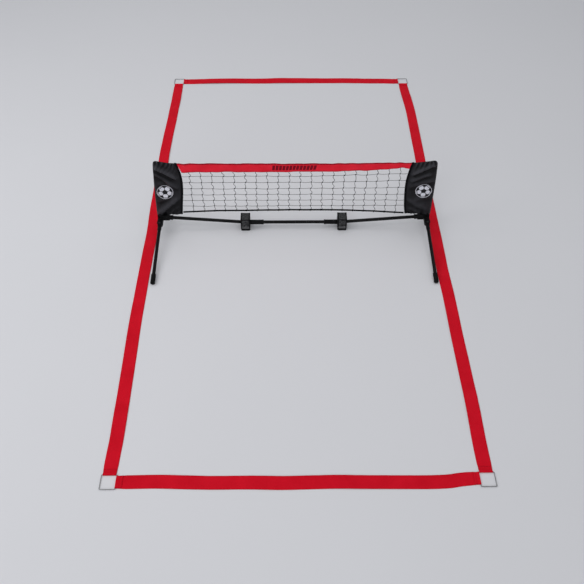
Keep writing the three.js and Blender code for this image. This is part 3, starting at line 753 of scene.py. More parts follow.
def make_court():
    for name, body, along, seed, rings in [
        ("line_left", "court", 1, 11, ["wire_ring_front_left", "wire_ring_back_left"]),
        ("line_right", "court", 1, 23, ["wire_ring_front_right", "wire_ring_back_right"]),
        ("line_front", "front_end", 0, 37, ["wire_ring_front_left", "wire_ring_front_right"]),
        ("line_back", "back_end", 0, 51, ["wire_ring_back_left", "wire_ring_back_right"]),
    ]:
        court_line(name, body, along, seed)
    for end, y in (("front", -COURT_Y), ("back", COURT_Y)):
        for side, x in (("left", -COURT_X), ("right", COURT_X)):
            corner_ring(f"ring_{end}_{side}", f"{end}_end", x, y)


# --- Net frame --------------------------------------------------------------------------

def half_place(side):
    """Places the right half of the net frame, or turns it round to make the left half."""
    turn = 0 if side == "right" else math.pi
    return Matrix.Translation((0, NET_Y, 0)) @ Matrix.Rotation(turn, 4, "Z")


def along_bar():
    """From the X axis to the sloping side bar, with x = 0 at the hub's middle."""
    return Matrix.Translation((HUB_X, 0, BAR_Z_AT_HUB)) @ Matrix.Rotation(-BAR_RISE, 4, "Y")


def leg_place(side, end):
    facing = 1 if side == "right" else -1
    direction = -facing if end == "front" else facing
    turn = Matrix.Rotation(direction * math.pi / 2, 4, "Z")
    return half_place(side) @ Matrix.Translation((HUB_X, direction * PIVOT_Y, PIVOT_Z)) @ turn


def rod_profile(radius, start, end, lip=0.001):
    return rounded([(start, 0), (start, radius), (end, radius), (end, 0)], lip)


def hollow_profile(outer, inner, start, end, lip=0.0004):
    ring = [(start, inner), (start, outer), (end, outer), (end, inner)]
    return rounded([(start + BORE_SHOWN, inner), *ring, (end - BORE_SHOWN, inner)], lip, steps=3)


def bracket_plate(direction, low, high):
    """One of the two plates that hold a leg's pin."""
    arc = [(PLATE_RADIUS * math.cos(a), PIVOT_Y + PLATE_RADIUS * math.sin(a))
           for a in np.linspace(0, math.pi, 25)]
    outline = [(-HUB_HALF, 0), (HUB_HALF, 0), *arc]
    points = [(x, direction * y) for x, y in outline]
    return prism(points if direction > 0 else points[::-1], low, high)


def hub_shapes():
    """Overlapping closed shapes of a hub, about the middle of its boss."""
    outside = TONGUE_THICK / 2 + FIT + PLATE_THICK
    lip_radius = SOCKET_RADIUS + 0.0008
    socket = lathe(rounded([(-SOCKET_LENGTH, 0), (-SOCKET_LENGTH, lip_radius),
                            (-SOCKET_LENGTH + 0.004, lip_radius),
                            (-SOCKET_LENGTH + 0.006, SOCKET_RADIUS), (-0.002, SOCKET_RADIUS), (-0.002, 0)],
                           0.0012))
    to_hub = Matrix.Translation((-HUB_X, 0, 0)) @ along_bar()
    boss = placed(lathe(rod_profile(BOSS_RADIUS, PIVOT_Z - outside, BOSS_TOP, 0.0015)), upright())
    slope = 0.008
    corner = [(-BLOCK_REACH, BLOCK_BOTTOM), (HUB_HALF, BLOCK_BOTTOM), (HUB_HALF, BLOCK_TOP),
              (slope - BLOCK_REACH, BLOCK_TOP), (-BLOCK_REACH, BLOCK_TOP - slope)]
    stand_up = Matrix.Rotation(math.pi / 2, 4, "X")
    block = placed(prism(corner, -BLOCK_HALF, BLOCK_HALF), stand_up)
    shapes = [placed(socket, to_hub), boss, block]
    for direction in (-1, 1):
        for low in (PIVOT_Z - outside, PIVOT_Z + outside - PLATE_THICK):
            shapes.append(bracket_plate(direction, low, low + PLATE_THICK))
        root = sorted((0, direction * (PIVOT_Y - TONGUE_RADIUS - 0.002)))
        shapes.append(box_shape((-HUB_HALF, root[0], PIVOT_Z - outside),
                                (HUB_HALF, root[1], PIVOT_Z + outside)))
    return shapes


def hub(side):
    """A moulded hub with a bore for the post and one for the side bar."""
    post_bore = placed(cylinder(POST_RADIUS + FIT, POST_BASE - FIT, 0.1), upright())
    bar_bore = placed(cylinder(TUBE_RADIUS + FIT, -SOCKET_LENGTH - 0.01, 0.0353 - SOCKET_LENGTH),
                      Matrix.Translation((-HUB_X, 0, 0)) @ along_bar())
    place = half_place(side) @ Matrix.Translation((HUB_X, 0, 0))
    moulded_piece(f"moulding_hub_{side}", hub_shapes(), HUB_SKIN, "net_frame", BLACK_PLASTIC, place,
                  [f"hub_{side}"], [post_bore, bar_bore])


def foot_section(grow):
    """The foot seen from its end, grown outwards: sides that flare over the sole, and a rounded top."""
    half, flare = FOOT_DEPTH / 2 + grow, SOLE_DEPTH / 2 + grow * 0.3
    base, top, corner = SOLE_HEIGHT + FIT, FOOT_TOP + grow, 0.006
    arcs = [(side * (half - corner) + corner * math.cos(a), top - corner + corner * math.sin(a))
            for side, start in ((1, 0), (-1, math.pi / 2))
            for a in np.linspace(start, start + math.pi / 2, 7)]
    return [(-flare, base), (flare, base), (flare, base + 0.002), (half, base + 0.009), *arcs,
            (-half, base + 0.009), (-flare, base + 0.002)]


def foot_face(side, face, inside, to_world, place):
    """The grained panel on one face of a foot, with its ridges, and the sloping strip under it, painted pale
    as a highlight.
    """
    name = f"{'front' if face == front_sign(side) else 'rear'}_{side}"
    deep = FOOT_DEPTH / 2
    low, high = sorted((face * (deep - 0.0034), face * (deep - 0.0016)))
    crest = face * (deep - 0.0010)
    panel = [box_shape((-inside, low, PANEL_BOTTOM), (inside, high, FOOT_TOP - 0.0030))]
    for k in range(4):
        ridge = 0.026 + 0.0075 * k
        panel.append(box_shape((-inside, min(low, crest), ridge),
                               (inside, max(high, crest), ridge + 0.0012)))
    moulded_piece(f"panel_foot_{name}", panel, PANEL_SKIN, "net_frame", FOOT_PANEL, place)
    # The sloping strip over the sole, painted pale as a highlight where it faces up into the light.
    strip = [(face * (SOLE_DEPTH / 2 - 0.0001), STRIP_BOTTOM), (face * (deep + 0.0001), 0.0195),
             (face * (deep - 0.0012), PANEL_BOTTOM), (face * (deep - 0.0030), PANEL_BOTTOM),
             (face * (deep - 0.0030), STRIP_BOTTOM)]
    band = placed(prism(strip if face > 0 else strip[::-1], -inside, inside), to_world)
    moulded_piece(f"band_foot_{name}", [band], PANEL_SKIN, "net_frame", FOOT_STRIP_HIGHLIGHT, place)


def foot(side):
    """A dark frame of side plates, a rim and a foot, round grained panels on its top and two faces."""
    to_world = Matrix.Rotation(math.pi / 2, 4, "Z") @ Matrix.Rotation(math.pi / 2, 4, "X")
    place = half_place(side) @ Matrix.Translation((FOOT_X, 0, 0))
    half, deep = FOOT_WIDTH / 2, FOOT_DEPTH / 2
    inside = half - FOOT_PLATE + 0.001
    shapes = [prism(foot_section(-0.0030), -half + 0.001, half - 0.001)]
    for edge in (-1, 1):
        shapes.append(prism(foot_section(0), *sorted((edge * half, edge * (half - FOOT_PLATE)))))
    shapes = [placed(s, to_world) for s in shapes]
    shapes.append(box_shape((-inside, -deep + 0.0012, FOOT_TOP - 0.0060),
                            (inside, deep - 0.0012, FOOT_TOP - 0.0022)))
    moulded_piece(f"moulding_foot_{side}", shapes, BODY_SKIN, "net_frame", BLACK_PLASTIC, place,
                  [f"foot_{side}"])
    cover = box_shape((-inside, -deep + 0.0035, FOOT_TOP - 0.0026),
                      (inside, deep - 0.0035, FOOT_TOP - 0.0008))
    moulded_piece(f"panel_foot_top_{side}", [cover], PANEL_SKIN, "net_frame", FOOT_PANEL, place)
    for face in (-1, 1):
        foot_face(side, face, inside, to_world, place)


def sole(side):
    """A rubber pad with two grooves round its edge."""
    levels = [(0.0, 0.0022), (0.0004, 0.0012), (0.0012, 0.0006), (0.0032, 0.0004), (0.0037, 0.0011),
              (0.0043, 0.0011), (0.0048, 0.0004), (0.0066, 0.0004), (0.0071, 0.0011), (0.0077, 0.0011),
              (0.0082, 0.0004), (0.0094, 0.0006), (0.0099, 0.0014)]
    sections = []
    for z, inset in levels:
        ring = rounded_rectangle(FOOT_WIDTH - 2 * inset, SOLE_DEPTH - 2 * inset, 0.0055 - inset, 8)
        sections.append([(x, y, z) for x, y in ring])
    shape = placed(loft(sections), half_place(side) @ Matrix.Translation((FOOT_X, 0, 0)))
    piece(f"pad_sole_{side}", shape, "net_frame", BLACK_RUBBER, [f"sole_{side}"])


def grooves(first, radius, depth, width):
    """Profile points of three grooves with sloping sides."""
    points = []
    for k in range(3):
        start = first + GROOVE_PITCH * k
        points += [(start, radius), (start + GROOVE_SLOPE, radius - depth),
                   (start + width - GROOVE_SLOPE, radius - depth), (start + width, radius)]
    return points


def coupler(side):
    """A plastic sleeve on the middle bar, with a lip and three grip rings."""
    r, mouth = COUPLER_RADIUS, COUPLER_MOUTH_X
    profile = [(mouth, TUBE_RADIUS + 0.0002), (mouth, r + 0.0006), (mouth + 0.005, r + 0.0006),
               (mouth + 0.006, r)]
    profile += grooves(mouth + 0.012, r, 0.0006, 0.0032)
    profile += [(COUPLER_END_X, r), (COUPLER_END_X, TUBE_RADIUS + 0.0002)]
    shape = placed(lathe(rounded(profile, 0.0005, 2), TUBE_SIDES),
                   half_place(side) @ Matrix.Translation((0, 0, BAR_HEIGHT)))
    piece(f"sleeve_coupler_{side}", shape, "net_frame", BLACK_PLASTIC, [f"coupler_{side}"])


def side_bar(side):
    hub_end = 0.035 - SOCKET_LENGTH
    foot_end = -(HUB_X - FOOT_X + 0.004) / math.cos(BAR_RISE)
    shape = lathe(hollow_profile(TUBE_RADIUS, TUBE_BORE, foot_end, hub_end), TUBE_SIDES)
    shape = placed(shape, half_place(side) @ along_bar())
    piece(f"tube_bar_{side}", shape, "net_frame", BLACK_PAINT, [f"bar_{side}"])


def middle_bar():
    profile = hollow_profile(TUBE_RADIUS, TUBE_BORE, -BAR_MIDDLE_END_X, BAR_MIDDLE_END_X)
    shape = placed(lathe(profile, TUBE_SIDES), Matrix.Translation((0, NET_Y, BAR_HEIGHT)))
    piece("tube_bar_middle", shape, "net_frame", BLACK_PAINT, ["bar_middle"])


def knuckle(name, body, place):
    """A tongue on the pin, a neck, a collar that the tube butts against and a spigot inside it."""
    tilt = Matrix.Rotation(LEG_TILT, 4, "Y")
    arc = [(TONGUE_RADIUS * math.cos(a), TONGUE_RADIUS * math.sin(a))
           for a in np.linspace(math.pi / 2, 1.5 * math.pi, 21)]
    neck, neck_half = COLLAR_START + 0.006, TONGUE_RADIUS - 0.0015
    outline = [*arc, (neck, -neck_half), (neck, neck_half)]
    tongue = prism(outline, -TONGUE_THICK / 2, TONGUE_THICK / 2)
    ring = lathe(rounded([(COLLAR_START, 0), (COLLAR_START, COLLAR_RADIUS - 0.001),
                          (COLLAR_START + 0.003, COLLAR_RADIUS), (COLLAR_END, COLLAR_RADIUS),
                          (COLLAR_END, 0)], 0.0008))
    spigot = lathe(rod_profile(TUBE_BORE - FIT, COLLAR_END - 0.002, COLLAR_END + 0.024))
    hole = placed(cylinder(PIN_RADIUS + FIT, -0.01, 0.01), upright())
    shapes = [tongue, placed(ring, tilt), placed(spigot, tilt)]
    moulded_piece(f"moulding_knuckle_{name}", shapes, BODY_SKIN, body, BLACK_PLASTIC, place,
                  [f"knuckle_{name}"], [hole])


def leg(side, end):
    """A knuckle, its tube and rubber cap, and the rivet that it turns on."""
    name, body, place = f"{end}_{side}", f"{end}_{side}_leg", leg_place(side, end)
    sloping = place @ Matrix.Rotation(LEG_TILT, 4, "Y")
    knuckle(name, body, place)
    tube = lathe(hollow_profile(TUBE_RADIUS, TUBE_BORE, COLLAR_END + FIT, LEG_REACH - 0.0073), TUBE_SIDES)
    piece(f"tube_leg_{name}", placed(tube, sloping), body, BLACK_PAINT, [f"leg_{name}"])
    mouth = LEG_REACH - CAP_LENGTH
    profile = [(mouth + 0.02, TUBE_RADIUS + 0.0002), (mouth, TUBE_RADIUS + 0.0002),
               (mouth, CAP_RADIUS - 0.0002), (mouth + 0.004, CAP_RADIUS)]
    profile += grooves(mouth + 0.009, CAP_RADIUS, 0.0007, 0.003)
    profile += [(LEG_REACH - 0.0014, CAP_RADIUS), (LEG_REACH, CAP_RADIUS - 0.0014), (LEG_REACH, 0)]
    cap = lathe(rounded(profile, 0.0006, 3), TUBE_SIDES)
    piece(f"rubber_leg_cap_{name}", placed(cap, sloping), body, BLACK_RUBBER, [f"leg_cap_{name}"])
    shank = TONGUE_THICK / 2 + 0.0006 + PLATE_THICK
    head = [(shank + 0.0015 * math.sin(a), PIN_HEAD_RADIUS * math.cos(a))
            for a in np.linspace(0, math.pi / 2, 7)]
    profile = [(-along, radius) for along, radius in reversed(head)]
    profile += [(-shank, PIN_RADIUS), (shank, PIN_RADIUS), *head]
    rivet = placed(lathe(profile, 28), place @ upright())
    piece(f"rivet_{name}", rivet, "net_frame", PIN_STEEL, [f"leg_pin_{name}"])


def post_path(side):
    """Middle of a post, in the right half: straight in the hub, then bowed inwards."""
    heights = np.concatenate([np.linspace(POST_BASE, POST_STRAIGHT, 6)[:-1],
                              np.linspace(POST_STRAIGHT, POST_TOP, 30)])
    share = np.clip((heights - POST_STRAIGHT) / (POST_TOP - POST_STRAIGHT), 0, 1)
    return np.stack([HUB_X - POST_BOW[side] * share ** 1.3, 0 * heights, heights], axis=1)


def post(side):
    rod = placed(swept(post_path(side), POST_RADIUS, sides=24), half_place(side))
    piece(f"rod_post_{side}", rod, "posts", BLACK_ROD, [f"post_{side}"])
    lean = math.atan(1.3 * POST_BOW[side] / (POST_TOP - POST_STRAIGHT))
    place = half_place(side) @ Matrix.Translation((HUB_X - POST_BOW[side], 0, POST_TOP + FIT))
    profile = rounded([(-0.0133, POST_RADIUS + 0.0002), (-0.0133, 0.006), (0.0019, 0.006),
                       (0.0019, 0)], 0.0009)
    cap = placed(lathe(profile), place @ Matrix.Rotation(-lean, 4, "Y") @ upright())
    piece(f"plug_post_cap_{side}", cap, "posts", BLACK_PLASTIC, [f"post_cap_{side}"])


def make_net_frame():
    for side in ("left", "right"):
        hub(side)
        foot(side)
        sole(side)
        coupler(side)
        side_bar(side)
        post(side)
        for end in ("front", "rear"):
            leg(side, end)
    middle_bar()


# --- Net --------------------------------------------------------------------------------

def seam_x(side, z):
    """How far from the net's middle the seam between sleeve and mesh is, at a height."""
    return through(SEAM[side], z)


def outer_x(side, z):
    return through(OUTER[side], z)


def post_x(side, z):
    path = post_path(side)
    return np.interp(z, path[:, 2], path[:, 0])


def sleeve_top(side, x):
    """Height of the sleeve's top edge: it climbs from the seam to the post and rounds off at the corner."""
    corner = CORNER_ROUND[side]
    edge = outer_x(side, np.full_like(x, 0.345))
    past = np.clip((x - edge + corner) / corner, 0, 1)
    return through(SLEEVE_TOP[side], x) - corner * (1 - np.sqrt(np.maximum(0, 1 - past ** 2)))


# Fold height that gives the sleeve cloth its full painted highlight.
FOLD_SHADE_HEIGHT = 0.006
SLEEVE_SEED = {"left": 61, "right": 83}

# Folds of each sleeve as (start, end, width, height), each end an (x, z) point of the right half. A fold
# stands off the net and has a hollow along one side.
FRONT_FOLDS = {
    "left": [
        ((0.572, 0.334), (0.478, 0.268), 0.0100, 0.0080),
        ((0.566, 0.300), (0.500, 0.236), 0.0090, 0.0034),
        ((0.578, 0.082), (0.478, 0.176), 0.0130, 0.0062),
        ((0.540, 0.078), (0.486, 0.126), 0.0080, 0.0030),
        ((0.560, 0.252), (0.472, 0.222), 0.0100, 0.0026),
        ((0.572, 0.150), (0.520, 0.176), 0.0090, 0.0020),
    ],
    "right": [
        ((0.480, 0.286), (0.566, 0.338), 0.0095, 0.0078),
        ((0.476, 0.252), (0.560, 0.292), 0.0100, 0.0046),
        ((0.576, 0.262), (0.474, 0.226), 0.0110, 0.0030),
        ((0.576, 0.100), (0.474, 0.158), 0.0130, 0.0030),
        ((0.545, 0.082), (0.488, 0.112), 0.0080, 0.0020),
        ((0.572, 0.176), (0.505, 0.150), 0.0100, 0.0018),
    ],
}
BACK_FOLDS = {
    "left": [
        ((0.568, 0.334), (0.484, 0.276), 0.0100, 0.0066),
        ((0.576, 0.110), (0.474, 0.180), 0.0120, 0.0046),
        ((0.570, 0.230), (0.480, 0.250), 0.0110, 0.0030),
    ],
    "right": [
        ((0.566, 0.330), (0.482, 0.286), 0.0100, 0.0064),
        ((0.576, 0.096), (0.476, 0.196), 0.0130, 0.0044),
        ((0.568, 0.220), (0.478, 0.216), 0.0110, 0.0028),
    ],
}


def fold_height(points, folds):
    total = np.zeros(len(points))
    for start, end, width, height in folds:
        start, end = np.array(start), np.array(end)
        direction = end - start
        length = np.linalg.norm(direction)
        direction = direction / length
        offset = points - start
        along = offset @ direction / length
        across = offset[:, 0] * -direction[1] + offset[:, 1] * direction[0]
        if direction[0] < 0:
            across = -across
        window = smooth_step((along + 0.08) / 0.25) * smooth_step((1.08 - along) / 0.25)
        ridge = np.exp(-(across / width) ** 2) - 0.75 * np.exp(-((across + 1.6 * width) / width) ** 2)
        total += 1.25 * height * window * ridge
    return total


def puckers(side, points, seed):
    """Gathers that hang from the top hem and die out below it, and weaker ones over the bottom hem."""
    x, z = points[:, 0], points[:, 1]
    below = np.maximum(0, sleeve_top(side, x) - 0.006 - z)
    phase = (x - 0.3 * below) / 0.0185 + 0.7 * waves(points, 0.05, seed + 3)
    low = np.exp(-np.maximum(0, z - SLEEVE_BOTTOM - 0.012) / 0.022)
    inner = smooth_step((x - seam_x(side, z) - 0.004) / 0.015)
    return inner * np.sin(2 * math.pi * phase) * (0.0034 * np.exp(-below / 0.026) + 0.0010 * low)


def sleeve_relief(side, points, folds, seed):
    """Height of the folds, crumples and puckers alone, over or under the smooth sleeve."""
    crumple = 0.0011 * waves(points, 0.040, seed) + 0.0005 * waves(points, 0.015, seed + 1)
    return fold_height(points, folds) + crumple + puckers(side, points, seed)


def sleeve_depth(side, points, folds, seed):
    """How far one layer of a sleeve stands off the net's plane at each (x, z) point of the right half."""
    x, z = points[:, 0], points[:, 1]
    seam, outer, top, rod = seam_x(side, z), outer_x(side, z), sleeve_top(side, x), post_x(side, z)
    to_rod = np.abs(x - rod)
    beyond = np.clip((x - rod) / np.maximum(outer - rod, 0.004), 0, 1)
    wrap = 0.0082 * np.sqrt(np.maximum(0, 1 - beyond ** 2.2))
    hang = 0.0052 + 0.0030 * np.exp(-np.maximum(0, rod - 0.004 - x) / 0.022)
    sewn = smooth_step((x - seam - 0.002) / 0.026)
    body = np.where(x > rod, wrap, hang) * sewn
    top_close = smooth_step((top - z) / 0.016)
    calm = smooth_step((x - seam - 0.004) / 0.016) * smooth_step((outer - x) / 0.012)
    loose = sleeve_relief(side, points, folds, seed)
    depth = body * (0.45 + 0.55 * top_close) + calm * loose * smooth_step((top - z) / 0.007)
    keep_off_rod = np.sqrt(np.maximum(0, ROD_CLEARANCE ** 2 - to_rod ** 2))
    keep_off_rod = keep_off_rod * smooth_step((top - z - 0.001) / 0.008)
    return np.maximum(depth, np.maximum(keep_off_rod, THINNEST))


def sleeve_grid(side, columns=72, rows=140):
    """(x, z) points of a sleeve's face in the right half, from seam to outer edge and from bottom to top."""
    across = np.concatenate([np.linspace(0, 0.8, columns * 2 // 3, endpoint=False),
                             0.8 + 0.2 * np.sin(np.linspace(0, math.pi / 2, columns - columns * 2 // 3))])
    up = np.linspace(0, 1, rows)
    a, b = np.meshgrid(across, up, indexing="ij")
    z = SLEEVE_BOTTOM + b * (SLEEVE_TOP_IN - SLEEVE_BOTTOM)
    for _ in range(4):
        x = seam_x(side, z) + a * (outer_x(side, z) - seam_x(side, z))
        z = SLEEVE_BOTTOM + b * (sleeve_top(side, x) - SLEEVE_BOTTOM)
    return np.stack([x, z], axis=-1)


def front_sign(side):
    """The right half's own -Y is the front. The left half is turned round, so there +Y is."""
    return -1 if side == "right" else 1


def sleeve_shape(side):
    """Two layers of cloth with an open bottom, as one skin: front from seam to edge, then back again."""
    grid = sleeve_grid(side)
    columns, rows = grid.shape[:2]
    flat = grid.reshape(-1, 2)
    front_depth = depth_at(side, flat).reshape(columns, rows)
    back_depth = depth_at(side, flat, False).reshape(columns, rows)
    front = front_sign(side)
    across, up = grid[..., 0], grid[..., 1]
    near = np.stack([across, front * front_depth, up], axis=-1)
    far = np.stack([across, -front * back_depth, up], axis=-1)
    sections = np.concatenate([near, far[::-1]])
    closing = smooth_step((sleeve_top(side, sections[:, :, 0]) - sections[:, :, 2]) / 0.003)
    sections[:, :, 1] *= 0.3 + 0.7 * closing
    return sections


def cloth_layer(side, front):
    """The folds of one layer of a sleeve, and the seed of its crumples."""
    folds = (FRONT_FOLDS if front else BACK_FOLDS)[side]
    return folds, SLEEVE_SEED[side] + (0 if front else 5)


def depth_at(side, points, front=True):
    return sleeve_depth(side, points, *cloth_layer(side, front))


def relief_at(side, points, front=True):
    return sleeve_relief(side, points, *cloth_layer(side, front))


def on_sleeve(side, points, lift, front=True):
    """Points lifted off a sleeve's cloth at (x, z), all in the right half."""
    points = np.asarray(points, dtype=float)
    sign = front_sign(side) * (1 if front else -1)
    depth = depth_at(side, points, front) + lift
    return np.stack([points[:, 0], sign * depth, points[:, 1]], axis=1)


def seam_binding(side):
    """A tape folded over the curved edge where the sleeve meets the mesh."""
    heights = np.linspace(SLEEVE_BOTTOM - 0.0008, SLEEVE_TOP_IN + 0.0012, 90)
    sections = []
    width, thick = 0.0068, 0.0017
    for k, z in enumerate(heights):
        x = seam_x(side, z)
        puff = 1 + 0.12 * math.sin(k * 1.9) + 0.08 * math.sin(k * 0.7)
        loop = [(-0.0026, 0), (-0.0022, 0.75), (-0.0008, 1.0), (0.2 * width, 0.95), (0.6 * width, 0.95),
                (0.93 * width, 0.85), (width, 0.45), (width, -0.45), (0.93 * width, -0.85),
                (0.6 * width, -0.95), (0.2 * width, -0.95), (-0.0008, -1.0), (-0.0022, -0.75)]
        sections.append([(x + dx, dy * thick * puff, z) for dx, dy in loop])
    return loft(sections)


def bottom_hem(side):
    """The sleeve's bottom edge turned up into a thick roll, from the seam to the pocket's mouth."""
    xs = np.linspace(seam_x(side, SLEEVE_BOTTOM) + 0.004, POCKET_MOUTH_X, 40)
    sections = []
    for k, x in enumerate(xs):
        puff = 1 + 0.10 * math.sin(k * 1.3) + 0.08 * math.sin(k * 0.41)
        depth = 0.0024 * puff
        loop = [(0, -0.0006), (0.8, 0.0004), (1.0, 0.003), (1.0, 0.007), (0.9, 0.0092), (0.45, 0.0098),
                (-0.45, 0.0098), (-0.9, 0.0092), (-1.0, 0.007), (-1.0, 0.003), (-0.8, 0.0004)]
        sections.append([(x, dy * depth, SLEEVE_BOTTOM + dz) for dy, dz in loop])
    return loft(sections)


def sleeve_stitching(side):
    """Rows of thread beside the binding, under the top edge and over the bottom hem, on both faces."""
    rows = []
    for front in (True, False):
        sign = front_sign(side) * (1 if front else -1)
        z = np.linspace(SLEEVE_BOTTOM + 0.004, SLEEVE_TOP_IN - 0.006, 60)
        beside_seam = np.stack([seam_x(side, z) + 0.0086, z], axis=1)
        x = np.linspace(0.488, 0.553, 40)
        under_top = np.stack([x, sleeve_top(side, x) - 0.0065], axis=1)
        x = np.linspace(0.488, 0.548, 30)
        over_hem = np.stack([x, 0 * x + SLEEVE_BOTTOM + 0.0125], axis=1)
        z = np.linspace(SLEEVE_BOTTOM + 0.006, SLEEVE_TOP_IN - 0.004, 60)
        beside_post = np.stack([post_x(side, z) - 0.0175, z], axis=1)
        for points in (beside_seam, under_top, over_hem, beside_post):
            path = on_sleeve(side, points, 0.0001, front)
            rows.append(stitches(path, [(0, sign, 0)] * len(path), THREAD))
    return merged(rows)


# A plain ball in one fifth of a turn: its hexagon and its rim panel, as (radius, degrees) for a ball of
# radius 1. The five dark panels between them are the cloth.
BALL_HEXAGON = [(0.37, -30), (0.37, 30), (0.62, 32.5), (0.83, 17), (0.83, -17), (0.62, -32.5)]
BALL_RIM = [(0.89, -15), (0.89, 15), (0.945, 18.5), (0.945, 0), (0.945, -18.5)]
BALL_RADIUS = 0.0325
BALL_MIDDLE = {"left": (0.536, 0.199), "right": (0.540, 0.201)}


def fan(points, centre, rings=6):
    """A filled outline as rings of points that shrink towards a centre, as an open grid."""
    points = np.asarray(points)
    return [centre + (points - centre) * (1 - k / rings) for k in range(rings)] + [
        np.repeat(centre[None, :], len(points), axis=0)]


def dense(points, step=0.0016):
    """A closed outline with points no further than step apart."""
    out = []
    for a, b in zip(points, np.roll(points, -1, axis=0)):
        count = max(1, math.ceil(np.linalg.norm(b - a) / step))
        out.extend(a + (b - a) * k / count for k in range(count))
    return np.array(out)


def flat_patch(rings, side, lift):
    """Cloth-hugging faces over rings of (x, z) points."""
    flat = np.array(rings)
    count, around = flat.shape[:2]
    points = on_sleeve(side, flat.reshape(-1, 2), lift).reshape(count, around, 3)
    return loft(points, closed=True, caps=False)


def ball_print(side):
    middle = np.array(BALL_MIDDLE[side])
    shapes = []

    def polar(radius, degrees):
        a = math.radians(degrees)
        return middle + BALL_RADIUS * radius * np.array([math.sin(a), math.cos(a)])

    for turn in range(5):
        spin = 72 * turn + 36
        for panel in (BALL_HEXAGON, BALL_RIM):
            outline = dense(np.array([polar(r, a + spin) for r, a in panel]))
            shapes.append(flat_patch(fan(outline, outline.mean(axis=0)), side, INK_OFF_CLOTH))
    circle = np.linspace(0, 360, 121)[:-1]
    rim = [np.array([polar(r, a) for a in circle]) for r in (1.04, 1.02, 1.0, 0.985)]
    shapes.append(flat_patch(rim, side, INK_OFF_CLOTH))
    return merged(shapes)


def sleeve(side):
    sections = sleeve_shape(side)
    place = half_place(side)
    name = f"sleeve_{side}"
    shape = placed(loft(sections, closed=False, caps=False), place)
    shape = oriented(shape) if side == "right" else shape
    cloth = piece(f"cloth_{name}", shape, "net", BLACK_CLOTH, [name])
    flat = sleeve_grid(side)
    columns, rows = flat.shape[:2]
    front, back = (relief_at(side, flat.reshape(-1, 2), face).reshape(columns, rows)
                   for face in (True, False))
    # Each point keeps the height of its folds, from which the cloth's material paints highlight on the
    # ridges and shade in the hollows.
    painted_fold_shade = cloth.data.attributes.new("painted_fold_shade", "FLOAT", "POINT")
    shares = np.vstack([front, back[::-1]]) / FOLD_SHADE_HEIGHT
    painted_fold_shade.data.foreach_set("value", shares.ravel().astype(np.float32))
    thick = cloth.modifiers.new("thickness", "SOLIDIFY")
    thick.thickness = 0.0005
    thick.offset = -1
    tape = piece(f"binding_{name}", placed(seam_binding(side), place), "net", BLACK_BINDING)
    hem = piece(f"hem_{name}", placed(bottom_hem(side), place), "net", BLACK_BINDING)
    thread = piece(f"stitching_{name}", placed(sleeve_stitching(side), place), "net",
                   GREY_THREAD)
    ball = ball_print(side)
    ball = placed(oriented(ball) if side == "left" else ball, place)
    ink = piece(f"print_{name}", ball, "net", PALE_PRINT)


def band_shift(points):
    """How far the band's cloth stands off the net's plane at each (x, z), to the front."""
    x, z = points[:, 0], points[:, 1]
    ends = np.minimum(1, (0.476 - np.abs(x)) / 0.03).clip(0, 1)
    broad = 0.0030 * waves(np.stack([x, 0.3 * z], axis=1), 0.13, 5)
    fine = 0.0020 * waves(np.stack([x + 0.6 * (z - BAND_BOTTOM), 0.6 * z], axis=1), 0.034, 9)
    pull = 0.0017 * np.sin((np.abs(x) * 0.9 - z) / 0.0075) * smooth_step((np.abs(x) - 0.38) / 0.07)
    return (broad + fine + pull) * ends


def band_top(x):
    return through(BAND_HIGH, x) + 0.0005 * waves_along(x, 0.11, 2)


def band_bottom(x):
    return through(BAND_LOW, x) + 0.0005 * waves_along(x, 0.09, 4)


def band_half(z, side):
    """How far the band reaches: its right end follows the seam, and its left end is cut on a slant."""
    slant = 0.0065 * (BAND_TOP - z) / (BAND_TOP - BAND_BOTTOM) if side == "left" else 0.0
    return seam_x(side, z) - 0.0012 - slant


def band_points(share_x, share_z):
    """(x, z) points of the band from shares along (-1 to 1) and up (0 to 1)."""
    rough = BAND_BOTTOM + share_z * (BAND_TOP - BAND_BOTTOM)
    reach = np.where(share_x < 0, band_half(rough, "left"), band_half(rough, "right"))
    x = share_x * reach
    low, high = band_bottom(x), band_top(x)
    return np.stack([x, low + share_z * (high - low)], axis=1)


def band_face(share_x, share_z, lift):
    points = band_points(share_x, share_z)
    return np.stack([points[:, 0], -band_shift(points) + lift + NET_Y, points[:, 1]], axis=1)


